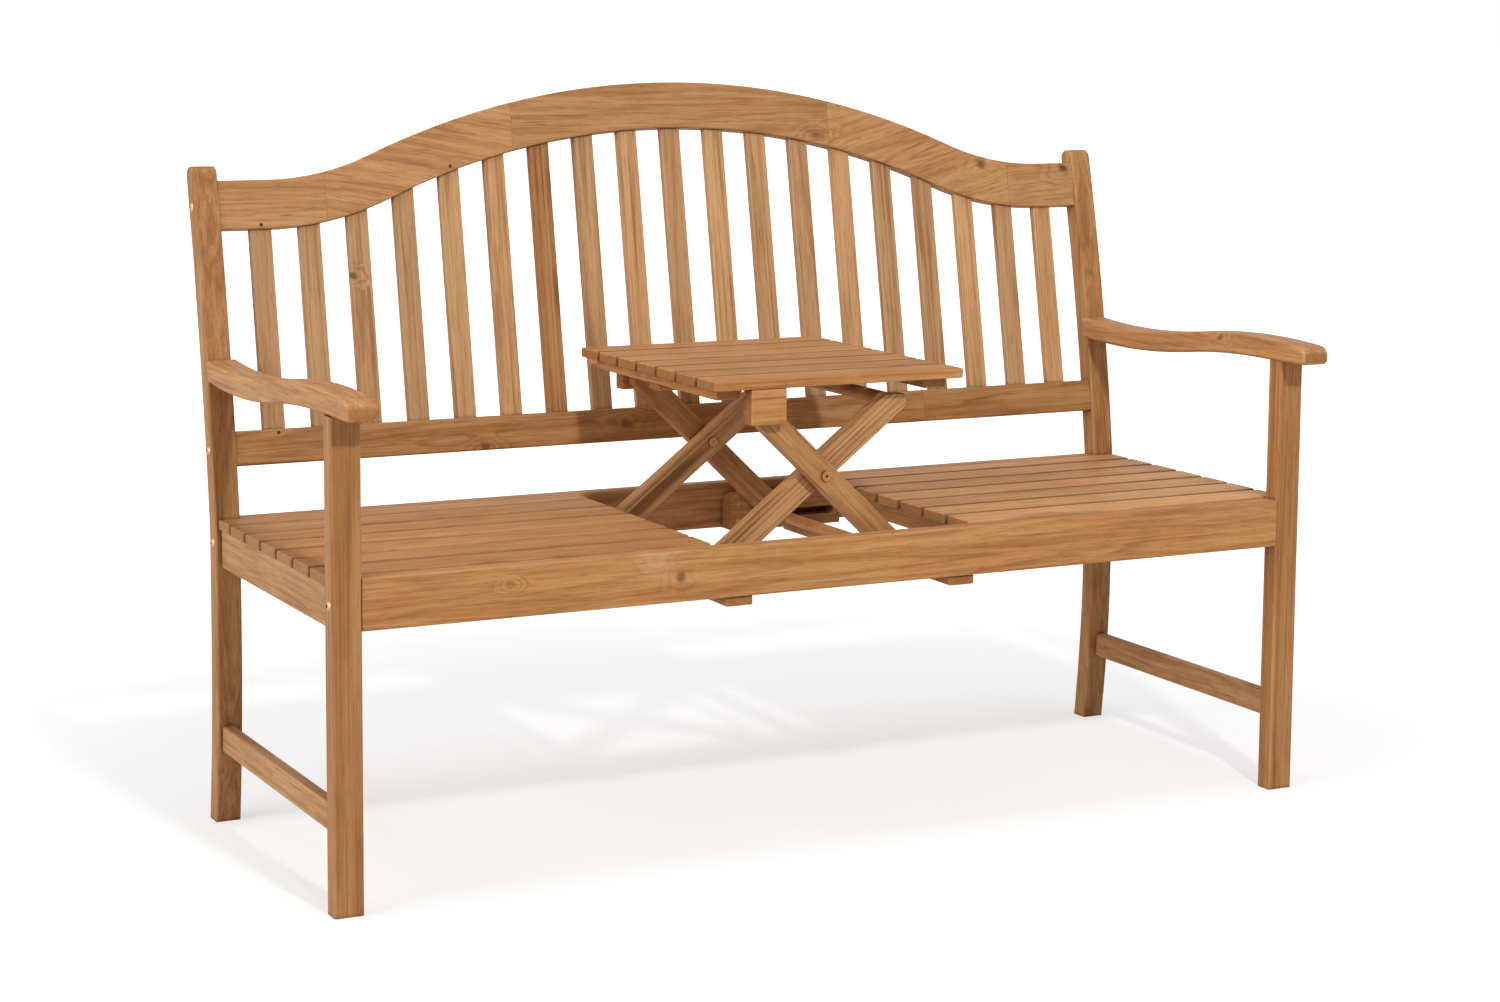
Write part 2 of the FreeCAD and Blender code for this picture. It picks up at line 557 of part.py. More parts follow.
def back_post(name, left):
    """Back post: foot swept back, upright at the seat, then leaning back in a long bend."""
    depth = "sizes.post_thickness"
    foot = "sizes.foot_curve_radius"
    front = "sizes.seat_depth"
    rear = f"({front} + {depth})"
    foot_top = "sizes.foot_curve_top"
    sole = f"({front} + {foot} - sqrt({foot} ^ 2 - {foot_top} ^ 2))"
    heel = f"({front} + {foot} - sqrt(({foot} - {depth}) ^ 2 - {foot_top} ^ 2))"
    knee_rear = f"({KNEE_BACK} + {depth} * cos(sizes.knee_angle))"
    knee_rear_up = f"({KNEE_UP} - {depth} * sin(sizes.knee_angle))"
    top = "sizes.post_height"
    body = new_body(name)
    side = new_sketch(body, f"{name}_side", "YZ_Plane")
    outline(side, [(sole, "0"), (front, foot_top), (front, "sizes.knee_height"), (KNEE_BACK, KNEE_UP),
                   (on_post(top, "0"), top), (on_post(top, depth), top), (knee_rear, knee_rear_up),
                   (rear, "sizes.knee_height"), (rear, foot_top), (heel, "0")],
            {0: (foot, "right"), 2: ("sizes.knee_radius", "right"),
             3: ("sizes.post_curve_radius", "right"),
             5: (f"(sizes.post_curve_radius - {depth})", "left"),
             6: (f"(sizes.knee_radius - {depth})", "left"), 8: (f"({foot} - {depth})", "left")})
    blank = pad(body, side, "sizes.post_width")
    near_top = number(f"{top} - {depth}")
    topped = soften(body, blank, "sizes.post_top_radius",
                    lambda edge: runs_along("x")(edge) and edge.CenterOfMass.z > near_top)
    soften(body, topped, "sizes.corner_rounding",
           lambda edge: lies_across(edge) and edge.BoundBox.ZMax > IN_PLANE)
    holes = new_sketch(body, f"{name}_holes", "YZ_Plane")
    for back, up in POST_BOLTS:
        circle(holes, back, up, BOLT_HOLE)
    pocket(body, holes)
    mortises(body, front, left, "sizes.post_width", forward=False)
    place(body, "0" if left else f"({LENGTH} - sizes.post_width)", "0", "0")
    return keep(body)


def arm(name, left):
    """Arm rest: level over the leg, dipping towards the post in two like curves."""
    level = "sizes.leg_height"
    run = "(sizes.arm_dip_place - sizes.arm_flat_end)"
    bend = f"(({run} ^ 2 + sizes.arm_dip ^ 2) / (4 * sizes.arm_dip))"
    turn_back = "((sizes.arm_dip_place + sizes.arm_flat_end) / 2)"
    turn_up = f"({level} - sizes.arm_dip / 2)"
    thick = "sizes.arm_thickness"
    dip_level = f"({level} - sizes.arm_dip)"
    end_run = f"({on_post(dip_level, '0')} - sizes.arm_dip_place)"
    end_up = f"({dip_level} + {bend} - sqrt({bend} ^ 2 - {end_run} ^ 2))"
    end_top = f"({end_up} + {thick})"
    reach = "(sizes.arm_flat_end + sizes.arm_overhang)"
    nose_up = f"({level} - {bend} + sqrt(({bend} + {thick}) ^ 2 - {reach} ^ 2))"
    body = new_body(name)
    side = new_sketch(body, f"{name}_side", "YZ_Plane")
    outline(side, [("-sizes.arm_overhang", level), ("sizes.arm_flat_end", level), (turn_back, turn_up),
                   (f"({on_post(end_up, '0')} - sizes.joinery_gap)", end_up),
                   (f"({on_post(end_top, '0')} - sizes.joinery_gap)", end_top),
                   (f"({turn_back} + {thick} * {run} / (2 * {bend}))",
                    f"({turn_up} + {thick} * (1 - sizes.arm_dip / (2 * {bend})))"),
                   ("-sizes.arm_overhang", nose_up)],
            {1: (bend, "right"), 2: (bend, "left"), 4: (f"({bend} - {thick})", "right"),
             5: (f"({bend} + {thick})", "left")})
    blank = pad(body, side, "sizes.arm_width")
    before_leg = number("-sizes.arm_overhang / 2")
    middle = number(f"{level} + {thick} / 2")
    shortest_side = number(thick) / 2

    def at_nose(edge):
        """Whether an edge runs along the front end of the arm."""
        return runs_along("x")(edge) and edge.CenterOfMass.y < before_leg

    nosed = soften(body, blank, "sizes.arm_nose_radius",
                   lambda edge: at_nose(edge) and edge.CenterOfMass.z > middle)
    lipped = soften(body, nosed, "sizes.arm_lip_radius",
                    lambda edge: at_nose(edge) and edge.CenterOfMass.z < middle)
    soften(body, lipped, "sizes.arm_rounding",
           lambda edge: lies_across(edge)
           and (edge.BoundBox.YLength > shortest_side or edge.BoundBox.YMax < 0))
    place(body, "0" if left else f"({LENGTH} - sizes.arm_width)", "0", "0")
    return keep(body)


def lean(body):
    """Put a piece of the back into the leaning plane of the back, origin at the lower back rail."""
    place(body, MIDDLE, POST_CENTRE_LOW, "sizes.back_rail_centre", (-1, 0, 0), LEAN_ANGLE)


def slat_middle(step):
    """Middle of an upright slat, across from the middle of the bench."""
    first = f"({MIDDLE} - sizes.back_slat_margin - sizes.back_slat_width / 2)"
    return f"(2 * {first} * {step} / {BACK_SLATS - 1} - {first})"


CREST_TURN = f"({CREST_BEND} * (1 - (sizes.crest_sweep_radius + {CREST_HALF}) / {CREST_CENTRES}))"


def crest_underside(across):
    """Height of the underside of the crest rail at a distance from the middle of the bench."""
    hollow = f"(sizes.crest_sweep_radius + {CREST_HALF})"
    if abs(number(across)) < number(CREST_TURN):
        return (f"({SLOPE_LENGTH} + sizes.crest_rise - {CREST_ARCH}"
                f" + sqrt(({CREST_ARCH} - {CREST_HALF}) ^ 2 - {across} ^ 2))")
    if abs(number(across)) < number(CREST_BEND):
        return (f"({SLOPE_LENGTH} + sizes.crest_sweep_radius"
                f" - sqrt({hollow} ^ 2 - ({CREST_BEND} - abs({across})) ^ 2))")
    return f"({SLOPE_LENGTH} - {CREST_HALF})"


def end_holes(body, half_length, back, up):
    """Blind bolt holes in both ends of a rail that lies across its own origin."""
    for tag, offset, inward in (("left", f"-({half_length})", True), ("right", half_length, False)):
        hole = new_sketch(body, f"{body.Name}_{tag}_hole", "YZ_Plane", offset)
        circle(hole, back, up, BOLT_HOLE)
        pocket(body, hole, "(sizes.bolt_bite + sizes.joinery_gap)", along_normal=inward)


def crest_rail():
    """Serpentine top rail of the back, cut from one flat board and mortised for the slats."""
    sweep = "sizes.crest_sweep_radius"
    far = f"(sizes.crest_rise / {CREST_CENTRES} - 1)"

    def turning(radius):
        """Point where the hollow curve passes into the arch, on an edge of the given hollow radius."""
        return (f"({CREST_BEND} * (1 - {radius} / {CREST_CENTRES}))",
                f"({SLOPE_LENGTH} + {sweep} + {radius} * {far})")

    under = turning(f"({sweep} + {CREST_HALF})")
    over = turning(f"({sweep} - {CREST_HALF})")
    low = f"({SLOPE_LENGTH} - {CREST_HALF})"
    high = f"({SLOPE_LENGTH} + {CREST_HALF})"
    wide = f"({sweep} + {CREST_HALF})"
    tight = f"({sweep} - {CREST_HALF})"
    body = new_body("crest_rail")
    face = new_sketch(body, "crest_rail_face", "XZ_Plane")
    outline(face, [(f"-{CREST_END}", low), (f"-{CREST_BEND}", low), (f"-{under[0]}", under[1]), under,
                   (CREST_BEND, low), (CREST_END, low), (CREST_END, high), (CREST_BEND, high), over,
                   (f"-{over[0]}", over[1]), (f"-{CREST_BEND}", high), (f"-{CREST_END}", high)],
            {1: (wide, "left"), 2: (f"({CREST_ARCH} - {CREST_HALF})", "right"), 3: (wide, "left"),
             7: (tight, "right"), 8: (f"({CREST_ARCH} + {CREST_HALF})", "left"), 9: (tight, "right")})
    blank = pad(body, face, "sizes.back_timber_thickness", both_ways=True)
    soften(body, blank, "sizes.slat_rounding",
           lambda edge: lies_on_face(edge) and not runs_along("z")(edge))
    slots = new_sketch(body, "crest_rail_mortises", "XZ_Plane")
    for step in range(BACK_SLATS):
        middle = slat_middle(step)
        underside = crest_underside(middle)
        rectangle(slots, f"({middle} - sizes.back_slat_width / 2 - sizes.joinery_gap)",
                  f"({underside} - sizes.back_slat_width)",
                  "(sizes.back_slat_width + 2 * sizes.joinery_gap)",
                  "(sizes.back_slat_width + sizes.back_slat_tenon + sizes.joinery_gap)")
    pocket(body, slots, "(sizes.back_slat_thickness + 2 * sizes.joinery_gap)", both_ways=True)
    end_holes(body, CREST_END, "0", SLOPE_LENGTH)
    lean(body)
    return keep(body)


def lower_back_rail():
    """Straight rail under the upright slats, mortised for them."""
    half = "(sizes.back_rail_height / 2)"
    body = new_body("lower_back_rail")
    face = new_sketch(body, "lower_back_rail_face", "XZ_Plane")
    rectangle(face, f"-{CREST_END}", f"-{half}", f"(2 * {CREST_END})", "sizes.back_rail_height")
    blank = pad(body, face, "sizes.back_timber_thickness", both_ways=True)
    soften(body, blank, "sizes.slat_rounding", runs_along("x"))
    slots = new_sketch(body, "lower_back_rail_mortises", "XZ_Plane")
    for step in range(BACK_SLATS):
        rectangle(slots, f"({slat_middle(step)} - sizes.back_slat_width / 2 - sizes.joinery_gap)",
                  f"({half} - sizes.back_slat_tenon - sizes.joinery_gap)",
                  "(sizes.back_slat_width + 2 * sizes.joinery_gap)", "sizes.back_rail_height")
    pocket(body, slots, "(sizes.back_slat_thickness + 2 * sizes.joinery_gap)", both_ways=True)
    end_holes(body, CREST_END, "0", "0")
    lean(body)
    return keep(body)


def back_slat(step):
    """Upright slat, as long as the crest rail is high above it, with both ends let in."""
    name = f"back_slat_{step + 1:02d}"
    middle = slat_middle(step)
    foot = "(sizes.back_rail_height / 2 - sizes.back_slat_tenon)"
    body = new_body(name)
    plan = new_sketch(body, f"{name}_plan", "XY_Plane", foot)
    rectangle(plan, f"({middle} - sizes.back_slat_width / 2)", "(-sizes.back_slat_thickness / 2)",
              "sizes.back_slat_width", "sizes.back_slat_thickness")
    blank = pad(body, plan, f"({crest_underside(middle)} + sizes.back_slat_tenon - {foot})")
    soften(body, blank, "sizes.upright_rounding", runs_along("z"))
    lean(body)
    return keep(body)


def seat_rail(name, thickness, length, back, bolt_back, inner_face, screws_back):
    """Front or back seat rail with bolt holes in its ends and pilot holes for a track board."""
    half = f"({length} / 2)"
    body = new_body(name)
    plan = new_sketch(body, f"{name}_plan", "XY_Plane")
    rectangle(plan, f"-{half}", "0", length, thickness)
    blank = pad(body, plan, "sizes.seat_rail_height")
    soften(body, blank, "sizes.slat_rounding", runs_along("x"))
    end_holes(body, half, bolt_back, "(sizes.seat_rail_height / 2)")
    pilots = new_sketch(body, f"{name}_pilots", "XZ_Plane", f"-({inner_face})")
    for up in SCREW_LEVELS:
        circle(pilots, f"({SCREW_ACROSS} - {MIDDLE})", up, "(sizes.screw_radius + sizes.bolt_play)")
    pocket(body, pilots, "(sizes.screw_bite + sizes.joinery_gap)", along_normal=screws_back)
    place(body, MIDDLE, back, RAIL_BOTTOM)
    return keep(body)


def tenoned_board(name, thickness, height, level, across, rear_low, rear_high):
    """Side timber from front leg to back post with a stub tenon at each end."""
    front = "(sizes.leg_thickness + sizes.joinery_gap)"
    body = new_body(name)
    side = new_sketch(body, f"{name}_side", "YZ_Plane")
    outline(side, [(front, "0"), (rear_low, "0"), (rear_high, height), (front, height)])
    blank = pad(body, side, thickness)
    rounded = soften(body, blank, "sizes.slat_rounding", runs_along("y"))
    inner = new_sketch(body, f"{name}_tenons", "YZ_Plane",
                       f"(({thickness} - sizes.tenon_thickness) / 2)")
    start = f"(sizes.leg_thickness - {TENON_LENGTH})"
    rectangle(inner, start, "sizes.tenon_shoulder",
              f"({REAR_TENON_END} - {start})", f"({height} - 2 * sizes.tenon_shoulder)")
    pad(body, inner, "sizes.tenon_thickness")
    place(body, across, "0", level)
    return keep(body)


def seat_slats(name, left):
    """Seven slats over one seat place, the last one narrower."""
    body = new_body(name)
    plan = new_sketch(body, f"{name}_plan", "XY_Plane")
    length = f"({OPENING_EDGE} - sizes.seat_edge_inset)"
    full = f"({SEAT_PITCH} - sizes.seat_slat_gap)"
    for step in range(SEAT_SLATS):
        width = full if step < SEAT_SLATS - 1 else "sizes.rear_slat_width"
        rectangle(plan, "0", f"({step} * {SEAT_PITCH})", length, width)
    blank = pad(body, plan, "sizes.slat_thickness")
    soften(body, blank, "sizes.slat_rounding", runs_along("x", "y", "z"))
    across = "sizes.seat_edge_inset" if left else f"({LENGTH} - {OPENING_EDGE})"
    place(body, across, FIRST_SLAT, SLAT_BOTTOM)
    return keep(body)


def track_board(name, front):
    """Board on the inner face of a seat rail whose slot leads one end of the slide bar."""
    body = new_body(name)
    face = new_sketch(body, f"{name}_face", "XZ_Plane")
    corner = "sizes.track_corner_radius"
    outline(face, [("0", "0"), (TRACK_LENGTH, "0"), (TRACK_LENGTH, TRACK_HEIGHT),
                   (corner, TRACK_HEIGHT), ("0", f"({TRACK_HEIGHT} - {corner})")],
            {3: (corner, "left")})
    pad(body, face, TRACK_THICKNESS, forward=False)
    inner = TRACK_THICKNESS if front else "0"
    half = "(sizes.rod_radius + sizes.slot_play)"
    level = f"({PIVOT_UP} - {RAIL_BOTTOM})"
    start = f"({ROD_ACROSS} - {TRACK_ACROSS} - sizes.slot_run_out)"
    stop = f"({ROD_LOW_ACROSS} - {TRACK_ACROSS} + sizes.slot_run_out)"
    slot = new_sketch(body, f"{name}_slot", "XZ_Plane", f"-({inner})")
    outline(slot, [(start, f"({level} - {half})"), (stop, f"({level} - {half})"),
                   (f"({stop} + {half})", level), (stop, f"({level} + {half})"),
                   (start, f"({level} + {half})"), (f"({start} - {half})", level)],
            {1: (half, "left"), 2: (half, "left"), 4: (half, "left"), 5: (half, "left")})
    pocket(body, slot, f"({TRACK_THICKNESS} - sizes.slot_wall)", along_normal=front)
    for tag, radius, depth in (
            ("head", "sizes.screw_head_radius", "(sizes.screw_sink + sizes.screw_head_height)"),
            ("shank", "sizes.screw_radius", TRACK_THICKNESS)):
        holes = new_sketch(body, f"{name}_{tag}_holes", "XZ_Plane", f"-({inner})")
        for up in SCREW_LEVELS:
            circle(holes, "sizes.screw_inset", up, f"({radius} + sizes.bolt_play)")
        pocket(body, holes, depth, along_normal=front)
    place(body, TRACK_ACROSS, TRACK_BACK if front else f"({BACK_RAIL_FRONT} - {TRACK_THICKNESS})",
          RAIL_BOTTOM)
    return keep(body)


def pivot_block(name, back):
    """Block on the left cross batten that carries an inner arm."""
    top = f"(sizes.arm_floor_gap + {FOLDING_ARM_DEPTH})"
    body = board(name, "sizes.pivot_block_width", "sizes.folding_arm_thickness", top)
    hole = new_sketch(body, f"{name}_hole", "XZ_Plane")
    circle(hole, "(sizes.pivot_block_width / 2)", f"({PIVOT_UP} - {RAIL_BOTTOM})", PIVOT_HOLE)
    pocket(body, hole)
    place(body, BATTEN_LEFT, back, RAIL_BOTTOM)
    return keep(body)


def inner_arm(name, back, front):
    """Folding arm from the bench pivot at its origin to a tip cut level under the table."""
    half = f"({FOLDING_ARM_DEPTH} / 2)"
    length = f"(sizes.inner_lower_length + {INNER_UPPER})"
    cut_start = f"(90 - sizes.inner_angle - acos(sizes.arm_tip_cut / {half}) / 1 deg)"
    cut_end = (f"({length} + (sizes.arm_tip_cut - {half} * cos(sizes.inner_angle))"
               " / sin(sizes.inner_angle))")
    body = new_body(name)
    face = new_sketch(body, f"{name}_face", "XZ_Plane")
    outline(face, [("0", f"-{half}"), (length, f"-{half}"),
                   (f"({length} + {half} * cos({cut_start}))", f"({half} * sin({cut_start}))"),
                   (cut_end, half), ("0", half), (f"-{half}", "0")],
            {1: (half, "left"), 4: (half, "left"), 5: (half, "left")})
    blank = pad(body, face, "sizes.folding_arm_thickness", forward=False)
    soften(body, blank, "sizes.folding_rounding", lies_on_face)
    holes = new_sketch(body, f"{name}_holes", "XZ_Plane")
    circle(holes, "0", "0", PIVOT_HOLE)
    circle(holes, "sizes.inner_lower_length", "0", PIVOT_HOLE)
    pocket(body, holes)
    socket = new_sketch(body, f"{name}_socket", "XZ_Plane",
                        "-sizes.folding_arm_thickness" if front else None)
    circle(socket, length, "0", "(sizes.cross_rod_tenon_radius + sizes.joinery_gap)")
    pocket(body, socket, "(sizes.cross_rod_tenon_length + sizes.joinery_gap)", along_normal=front)
    place(body, PIVOT_ACROSS, back, PIVOT_UP, (0, -1, 0), "sizes.inner_angle")
    return keep(body)


def outer_arm(name, back):
    """Folding arm about the crossing at its origin, from the table hinge down to the slide bar."""
    half = f"({FOLDING_ARM_DEPTH} / 2)"
    body = new_body(name)
    face = new_sketch(body, f"{name}_face", "XZ_Plane")
    outline(face, [(f"-{OUTER_UPPER}", f"-{half}"), (OUTER_LOWER, f"-{half}"),
                   (f"({OUTER_LOWER} + {half})", "0"), (OUTER_LOWER, half),
                   (f"-{OUTER_UPPER}", half), (f"-({OUTER_UPPER} + {half})", "0")],
            {1: (half, "left"), 2: (half, "left"), 4: (half, "left"), 5: (half, "left")})
    blank = pad(body, face, "sizes.folding_arm_thickness", forward=False)
    soften(body, blank, "sizes.folding_rounding", lies_on_face)
    holes = new_sketch(body, f"{name}_holes", "XZ_Plane")
    circle(holes, f"-{OUTER_UPPER}", "0", PIVOT_HOLE)
    circle(holes, "0", "0", PIVOT_HOLE)
    circle(holes, OUTER_LOWER, "0", "(sizes.rod_radius + sizes.pivot_clearance)")
    pocket(body, holes)
    place(body, CROSSING_ACROSS, back, CROSSING_UP, (0, 1, 0), "sizes.outer_angle")
    return keep(body)


def hinge_block(name, back, front):
    """Block under an outer table slat, with a blind hole for the pin of an outer arm."""
    height = f"({TABLE_SLAT_BOTTOM} - {HINGE_UP} + sizes.hinge_block_drop)"
    body = board(name, "sizes.hinge_block_width", "sizes.hinge_block_thickness", height)
    inner = "sizes.hinge_block_thickness" if front else "0"
    hole = new_sketch(body, f"{name}_hole", "XZ_Plane", f"-({inner})")
    circle(hole, "(sizes.hinge_block_width / 2)", "sizes.hinge_block_drop", PIVOT_HOLE)
    pocket(body, hole, HINGE_HOLE, along_normal=front)
    place(body, f"({HINGE_ACROSS} - sizes.hinge_block_width / 2)", back,
          f"({HINGE_UP} - sizes.hinge_block_drop)")
    return keep(body)


def table_slats():
    """Seven slats of the table top."""
    body = new_body("table_slats")
    plan = new_sketch(body, "table_slats_plan", "XY_Plane")
    for step in range(TABLE_SLATS):
        rectangle(plan, "0", f"({step} * {TABLE_PITCH})", "sizes.table_length",
                  f"({TABLE_PITCH} - sizes.table_slat_gap)")
    blank = pad(body, plan, "sizes.slat_thickness")
    soften(body, blank, "sizes.slat_rounding", runs_along("x", "y", "z"))
    place(body, TABLE_LEFT, TABLE_FRONT, TABLE_SLAT_BOTTOM)
    return keep(body)


def round_bar(name, across, start, up, wide, thin, spigot):
    """Round bar from front to back about the middle of the well, its ends turned down to spigots."""
    length = f"(2 * ({WELL_MIDDLE} - {start}))"
    body = turned(name, [("0", f"-{spigot}"), (thin, f"-{spigot}"), (thin, "0"), (wide, "0"),
                         (wide, length), (thin, length), (thin, f"({length} + {spigot})"),
                         ("0", f"({length} + {spigot})")])
    place(body, across, start, up, (-1, 0, 0), QUARTER_TURN)
    return keep(body)


def facing_pair(name, make, across, back, up):
    """Two like fasteners, one with its head to the front and its mirror image at the back."""
    front = make(f"{name}_front")
    place(front, across, back, up, (1, 0, 0), QUARTER_TURN)
    rear = make(f"{name}_back")
    place(rear, across, from_back(back), up, (-1, 0, 0), QUARTER_TURN)
    return [front, rear]


def frame_bolts():
    """Dome bolts through the legs and posts into the ends of the four long rails."""
    bolts = []
    spots = [("leg", "sizes.leg_width", "(sizes.front_rail_thickness / 2)", RAIL_CENTRE)]
    for step, (back, up) in enumerate(POST_BOLTS):
        spots.append((f"post_{step}", "sizes.post_width", back, up))
    for tag, timber, back, up in spots:
        for hand, across, axis in (("left", "0", (0, -1, 0)), ("right", LENGTH, (0, 1, 0))):
            bolt = dome_bolt(f"bolt_{tag}_{hand}", f"({timber} + sizes.bolt_bite)")
            place(bolt, across, back, up, axis, QUARTER_TURN)
            bolts.append(bolt)
    return group("frame_bolts", bolts)


def screws():
    """Two screws through each track board into its seat rail, heads below the surface."""
    length = f"({TRACK_THICKNESS} - sizes.screw_sink + sizes.screw_bite)"
    face = f"({TRACK_BACK} + {TRACK_THICKNESS} - sizes.screw_sink)"
    pieces = []
    for level, up in enumerate(SCREW_LEVELS):
        front = wood_screw(f"screw_front_{level}", length)
        place(front, SCREW_ACROSS, face, f"({RAIL_BOTTOM} + {up})", (-1, 0, 0), QUARTER_TURN)
        rear = wood_screw(f"screw_back_{level}", length)
        place(rear, SCREW_ACROSS, from_back(face), f"({RAIL_BOTTOM} + {up})", (1, 0, 0), QUARTER_TURN)
        pieces += [front, rear]
    return group("screws", pieces)


# Frame.
for hand in ("left", "right"):
    front_leg(f"front_leg_{hand}", hand == "left")
    back_post(f"back_post_{hand}", hand == "left")
    arm(f"arm_{hand}", hand == "left")
    tenoned_board(f"side_seat_rail_{hand}", "sizes.side_rail_thickness", "sizes.side_rail_height",
                  SIDE_RAIL_BOTTOM,
                  "sizes.side_rail_inset" if hand == "left"
                  else f"({LENGTH} - sizes.side_rail_inset - sizes.side_rail_thickness)",
                  "(sizes.seat_depth - sizes.joinery_gap)", "(sizes.seat_depth - sizes.joinery_gap)")
    tenoned_board(f"side_stretcher_{hand}", "sizes.stretcher_thickness", "sizes.stretcher_height",
                  "sizes.stretcher_level",
                  "sizes.stretcher_inset" if hand == "left"
                  else f"({LENGTH} - sizes.stretcher_inset - sizes.stretcher_thickness)",
                  f"({foot_front('sizes.stretcher_level')} - sizes.joinery_gap)",
                  f"({foot_front('(sizes.stretcher_level + sizes.stretcher_height)')}"
                  " - sizes.joinery_gap)")
seat_rail("front_seat_rail", "sizes.front_rail_thickness", f"({LENGTH} - 2 * sizes.leg_width)",
          "0", "(sizes.front_rail_thickness / 2)", "sizes.front_rail_thickness", True)
seat_rail("back_seat_rail", "sizes.back_rail_thickness", f"({LENGTH} - 2 * sizes.post_width)",
          BACK_RAIL_FRONT, f"({POST_MIDDLE} - {BACK_RAIL_FRONT})", "0", False)
lower_back_rail()
crest_rail()
for step in range(BACK_SLATS):
    back_slat(step)

# Seat.
BEARER_LEFT = f"({OPENING_EDGE} - sizes.bearer_setback - sizes.bearer_thickness)"
BATTEN_LENGTH = (f"({BACK_RAIL_REAR} - sizes.cross_batten_front_inset"
                 " - sizes.cross_batten_back_inset)")
for hand in ("left", "right"):
    seat_slats(f"seat_slats_{hand}", hand == "left")
    bearer = board(f"inner_bearer_{hand}", "sizes.bearer_thickness",
                   f"({BACK_RAIL_FRONT} - sizes.front_rail_thickness)", "sizes.bearer_height", along="y")
    place(bearer, BEARER_LEFT if hand == "left"
          else from_right(f"({BEARER_LEFT} + sizes.bearer_thickness)"),
          "sizes.front_rail_thickness", f"({SLAT_BOTTOM} - sizes.bearer_height)")
    keep(bearer)
    batten = board(f"lower_batten_{hand}", "sizes.cross_batten_width", BATTEN_LENGTH,
                   "sizes.cross_batten_thickness")
    place(batten, BATTEN_LEFT if hand == "left"
          else from_right(f"({BATTEN_LEFT} + sizes.cross_batten_width)"),
          "sizes.cross_batten_front_inset", f"({RAIL_BOTTOM} - sizes.cross_batten_thickness)")
    keep(batten)

# Folding table.
track_board("track_board_front", True)
track_board("track_board_back", False)
pivot_block("pivot_block_front", OUTER_LAYER)
pivot_block("pivot_block_back", from_back(f"({OUTER_LAYER} + sizes.folding_arm_thickness)"))
inner_arm("inner_arm_front", INNER_LAYER, True)
inner_arm("inner_arm_back", from_back(INNER_FACE), False)
round_bar("inner_stretcher", TIP_ACROSS, INNER_FACE, HINGE_UP, "sizes.cross_rod_radius",
          "sizes.cross_rod_tenon_radius", "sizes.cross_rod_tenon_length")
outer_arm("outer_arm_front", OUTER_LAYER)
outer_arm("outer_arm_back", from_back(f"({OUTER_LAYER} + sizes.folding_arm_thickness)"))
BAR_START = f"({INNER_FACE} + sizes.bar_shoulder_gap)"
BAR_SPIGOT = f"({BAR_START} - sizes.front_rail_thickness - sizes.rod_end_gap)"
round_bar("slide_bar", ROD_ACROSS, BAR_START, PIVOT_UP, "sizes.bar_radius", "sizes.rod_radius",
          BAR_SPIGOT)
hinge_block("hinge_block_front", TABLE_FRONT, True)
hinge_block("hinge_block_back", from_back(f"({TABLE_FRONT} + sizes.hinge_block_thickness)"), False)
for hand in ("left", "right"):
    batten = board(f"table_batten_{hand}", "sizes.table_batten_width",
                   f"({TABLE_DEPTH} - 2 * sizes.table_batten_edge_inset)", "sizes.table_batten_thickness")
    inset = "sizes.table_batten_end_inset"
    place(batten, f"({TABLE_LEFT} + {inset})" if hand == "left"
          else f"({TABLE_LEFT} + sizes.table_length - {inset} - sizes.table_batten_width)",
          f"({TABLE_FRONT} + sizes.table_batten_edge_inset)", TABLE_BATTEN_BOTTOM)
    keep(batten)
table_slats()
RUNNER_BOTTOM = f"({HINGE_UP} + sizes.cross_rod_radius + sizes.runner_gap)"
runner = board("table_runner", "(sizes.table_length - 2 * sizes.table_batten_end_inset)",
               "sizes.runner_width", f"({TABLE_BATTEN_BOTTOM} - {RUNNER_BOTTOM})",
               "sizes.folding_rounding")
place(runner, f"({TABLE_LEFT} + sizes.table_batten_end_inset)",
      f"({WELL_MIDDLE} - sizes.runner_width / 2)", RUNNER_BOTTOM)
keep(runner)

# Fasteners.
PIN_END = f"({OUTER_LAYER} + sizes.folding_arm_thickness - sizes.face_gap)"
group("lower_hinge_bolts", facing_pair("lower_hinge_bolt", pivot_bolt, PIVOT_ACROSS, OUTER_LAYER,
                                       PIVOT_UP))
group("cross_bolts", facing_pair("cross_bolt", pivot_bolt, CROSSING_ACROSS,
                                 f"({OUTER_LAYER} - sizes.face_gap)", CROSSING_UP))
group("upper_hinge_pins", facing_pair("upper_hinge_pin", hinge_pin, HINGE_ACROSS, PIN_END, HINGE_UP))
frame_bolts()
screws()

doc.recompute()
for thing in doc.Objects:
    if "Invalid" in thing.State or "Error" in thing.State:
        raise RuntimeError(f"{thing.Label}: {thing.State}")
for thing in part_nodes:
    if thing.Shape.isNull() or not thing.Shape.isValid():
        raise RuntimeError(f"{thing.Label} has no valid shape")
os.makedirs("parts", exist_ok=True)
for thing in part_nodes:
    thing.Shape.exportStep(f"parts/{thing.Label}.step")
print(len(part_nodes), "nodes")
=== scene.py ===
"""Dress and light the garden bench whose middle place holds a folding table.

The bench is oiled hardwood held with brass bolts.  Every board gets grain that runs along it, cut
from its own place in the log, and the metal gets the finish of its kind.  All lengths are metres
unless a name ends in _mm.  +X runs along the bench, +Y to the back and +Z up.
"""

import logging
import math
from dataclasses import dataclass, field, replace
from enum import Enum
from functools import partial

import bpy
import numpy as np
from mathutils import Matrix, Vector


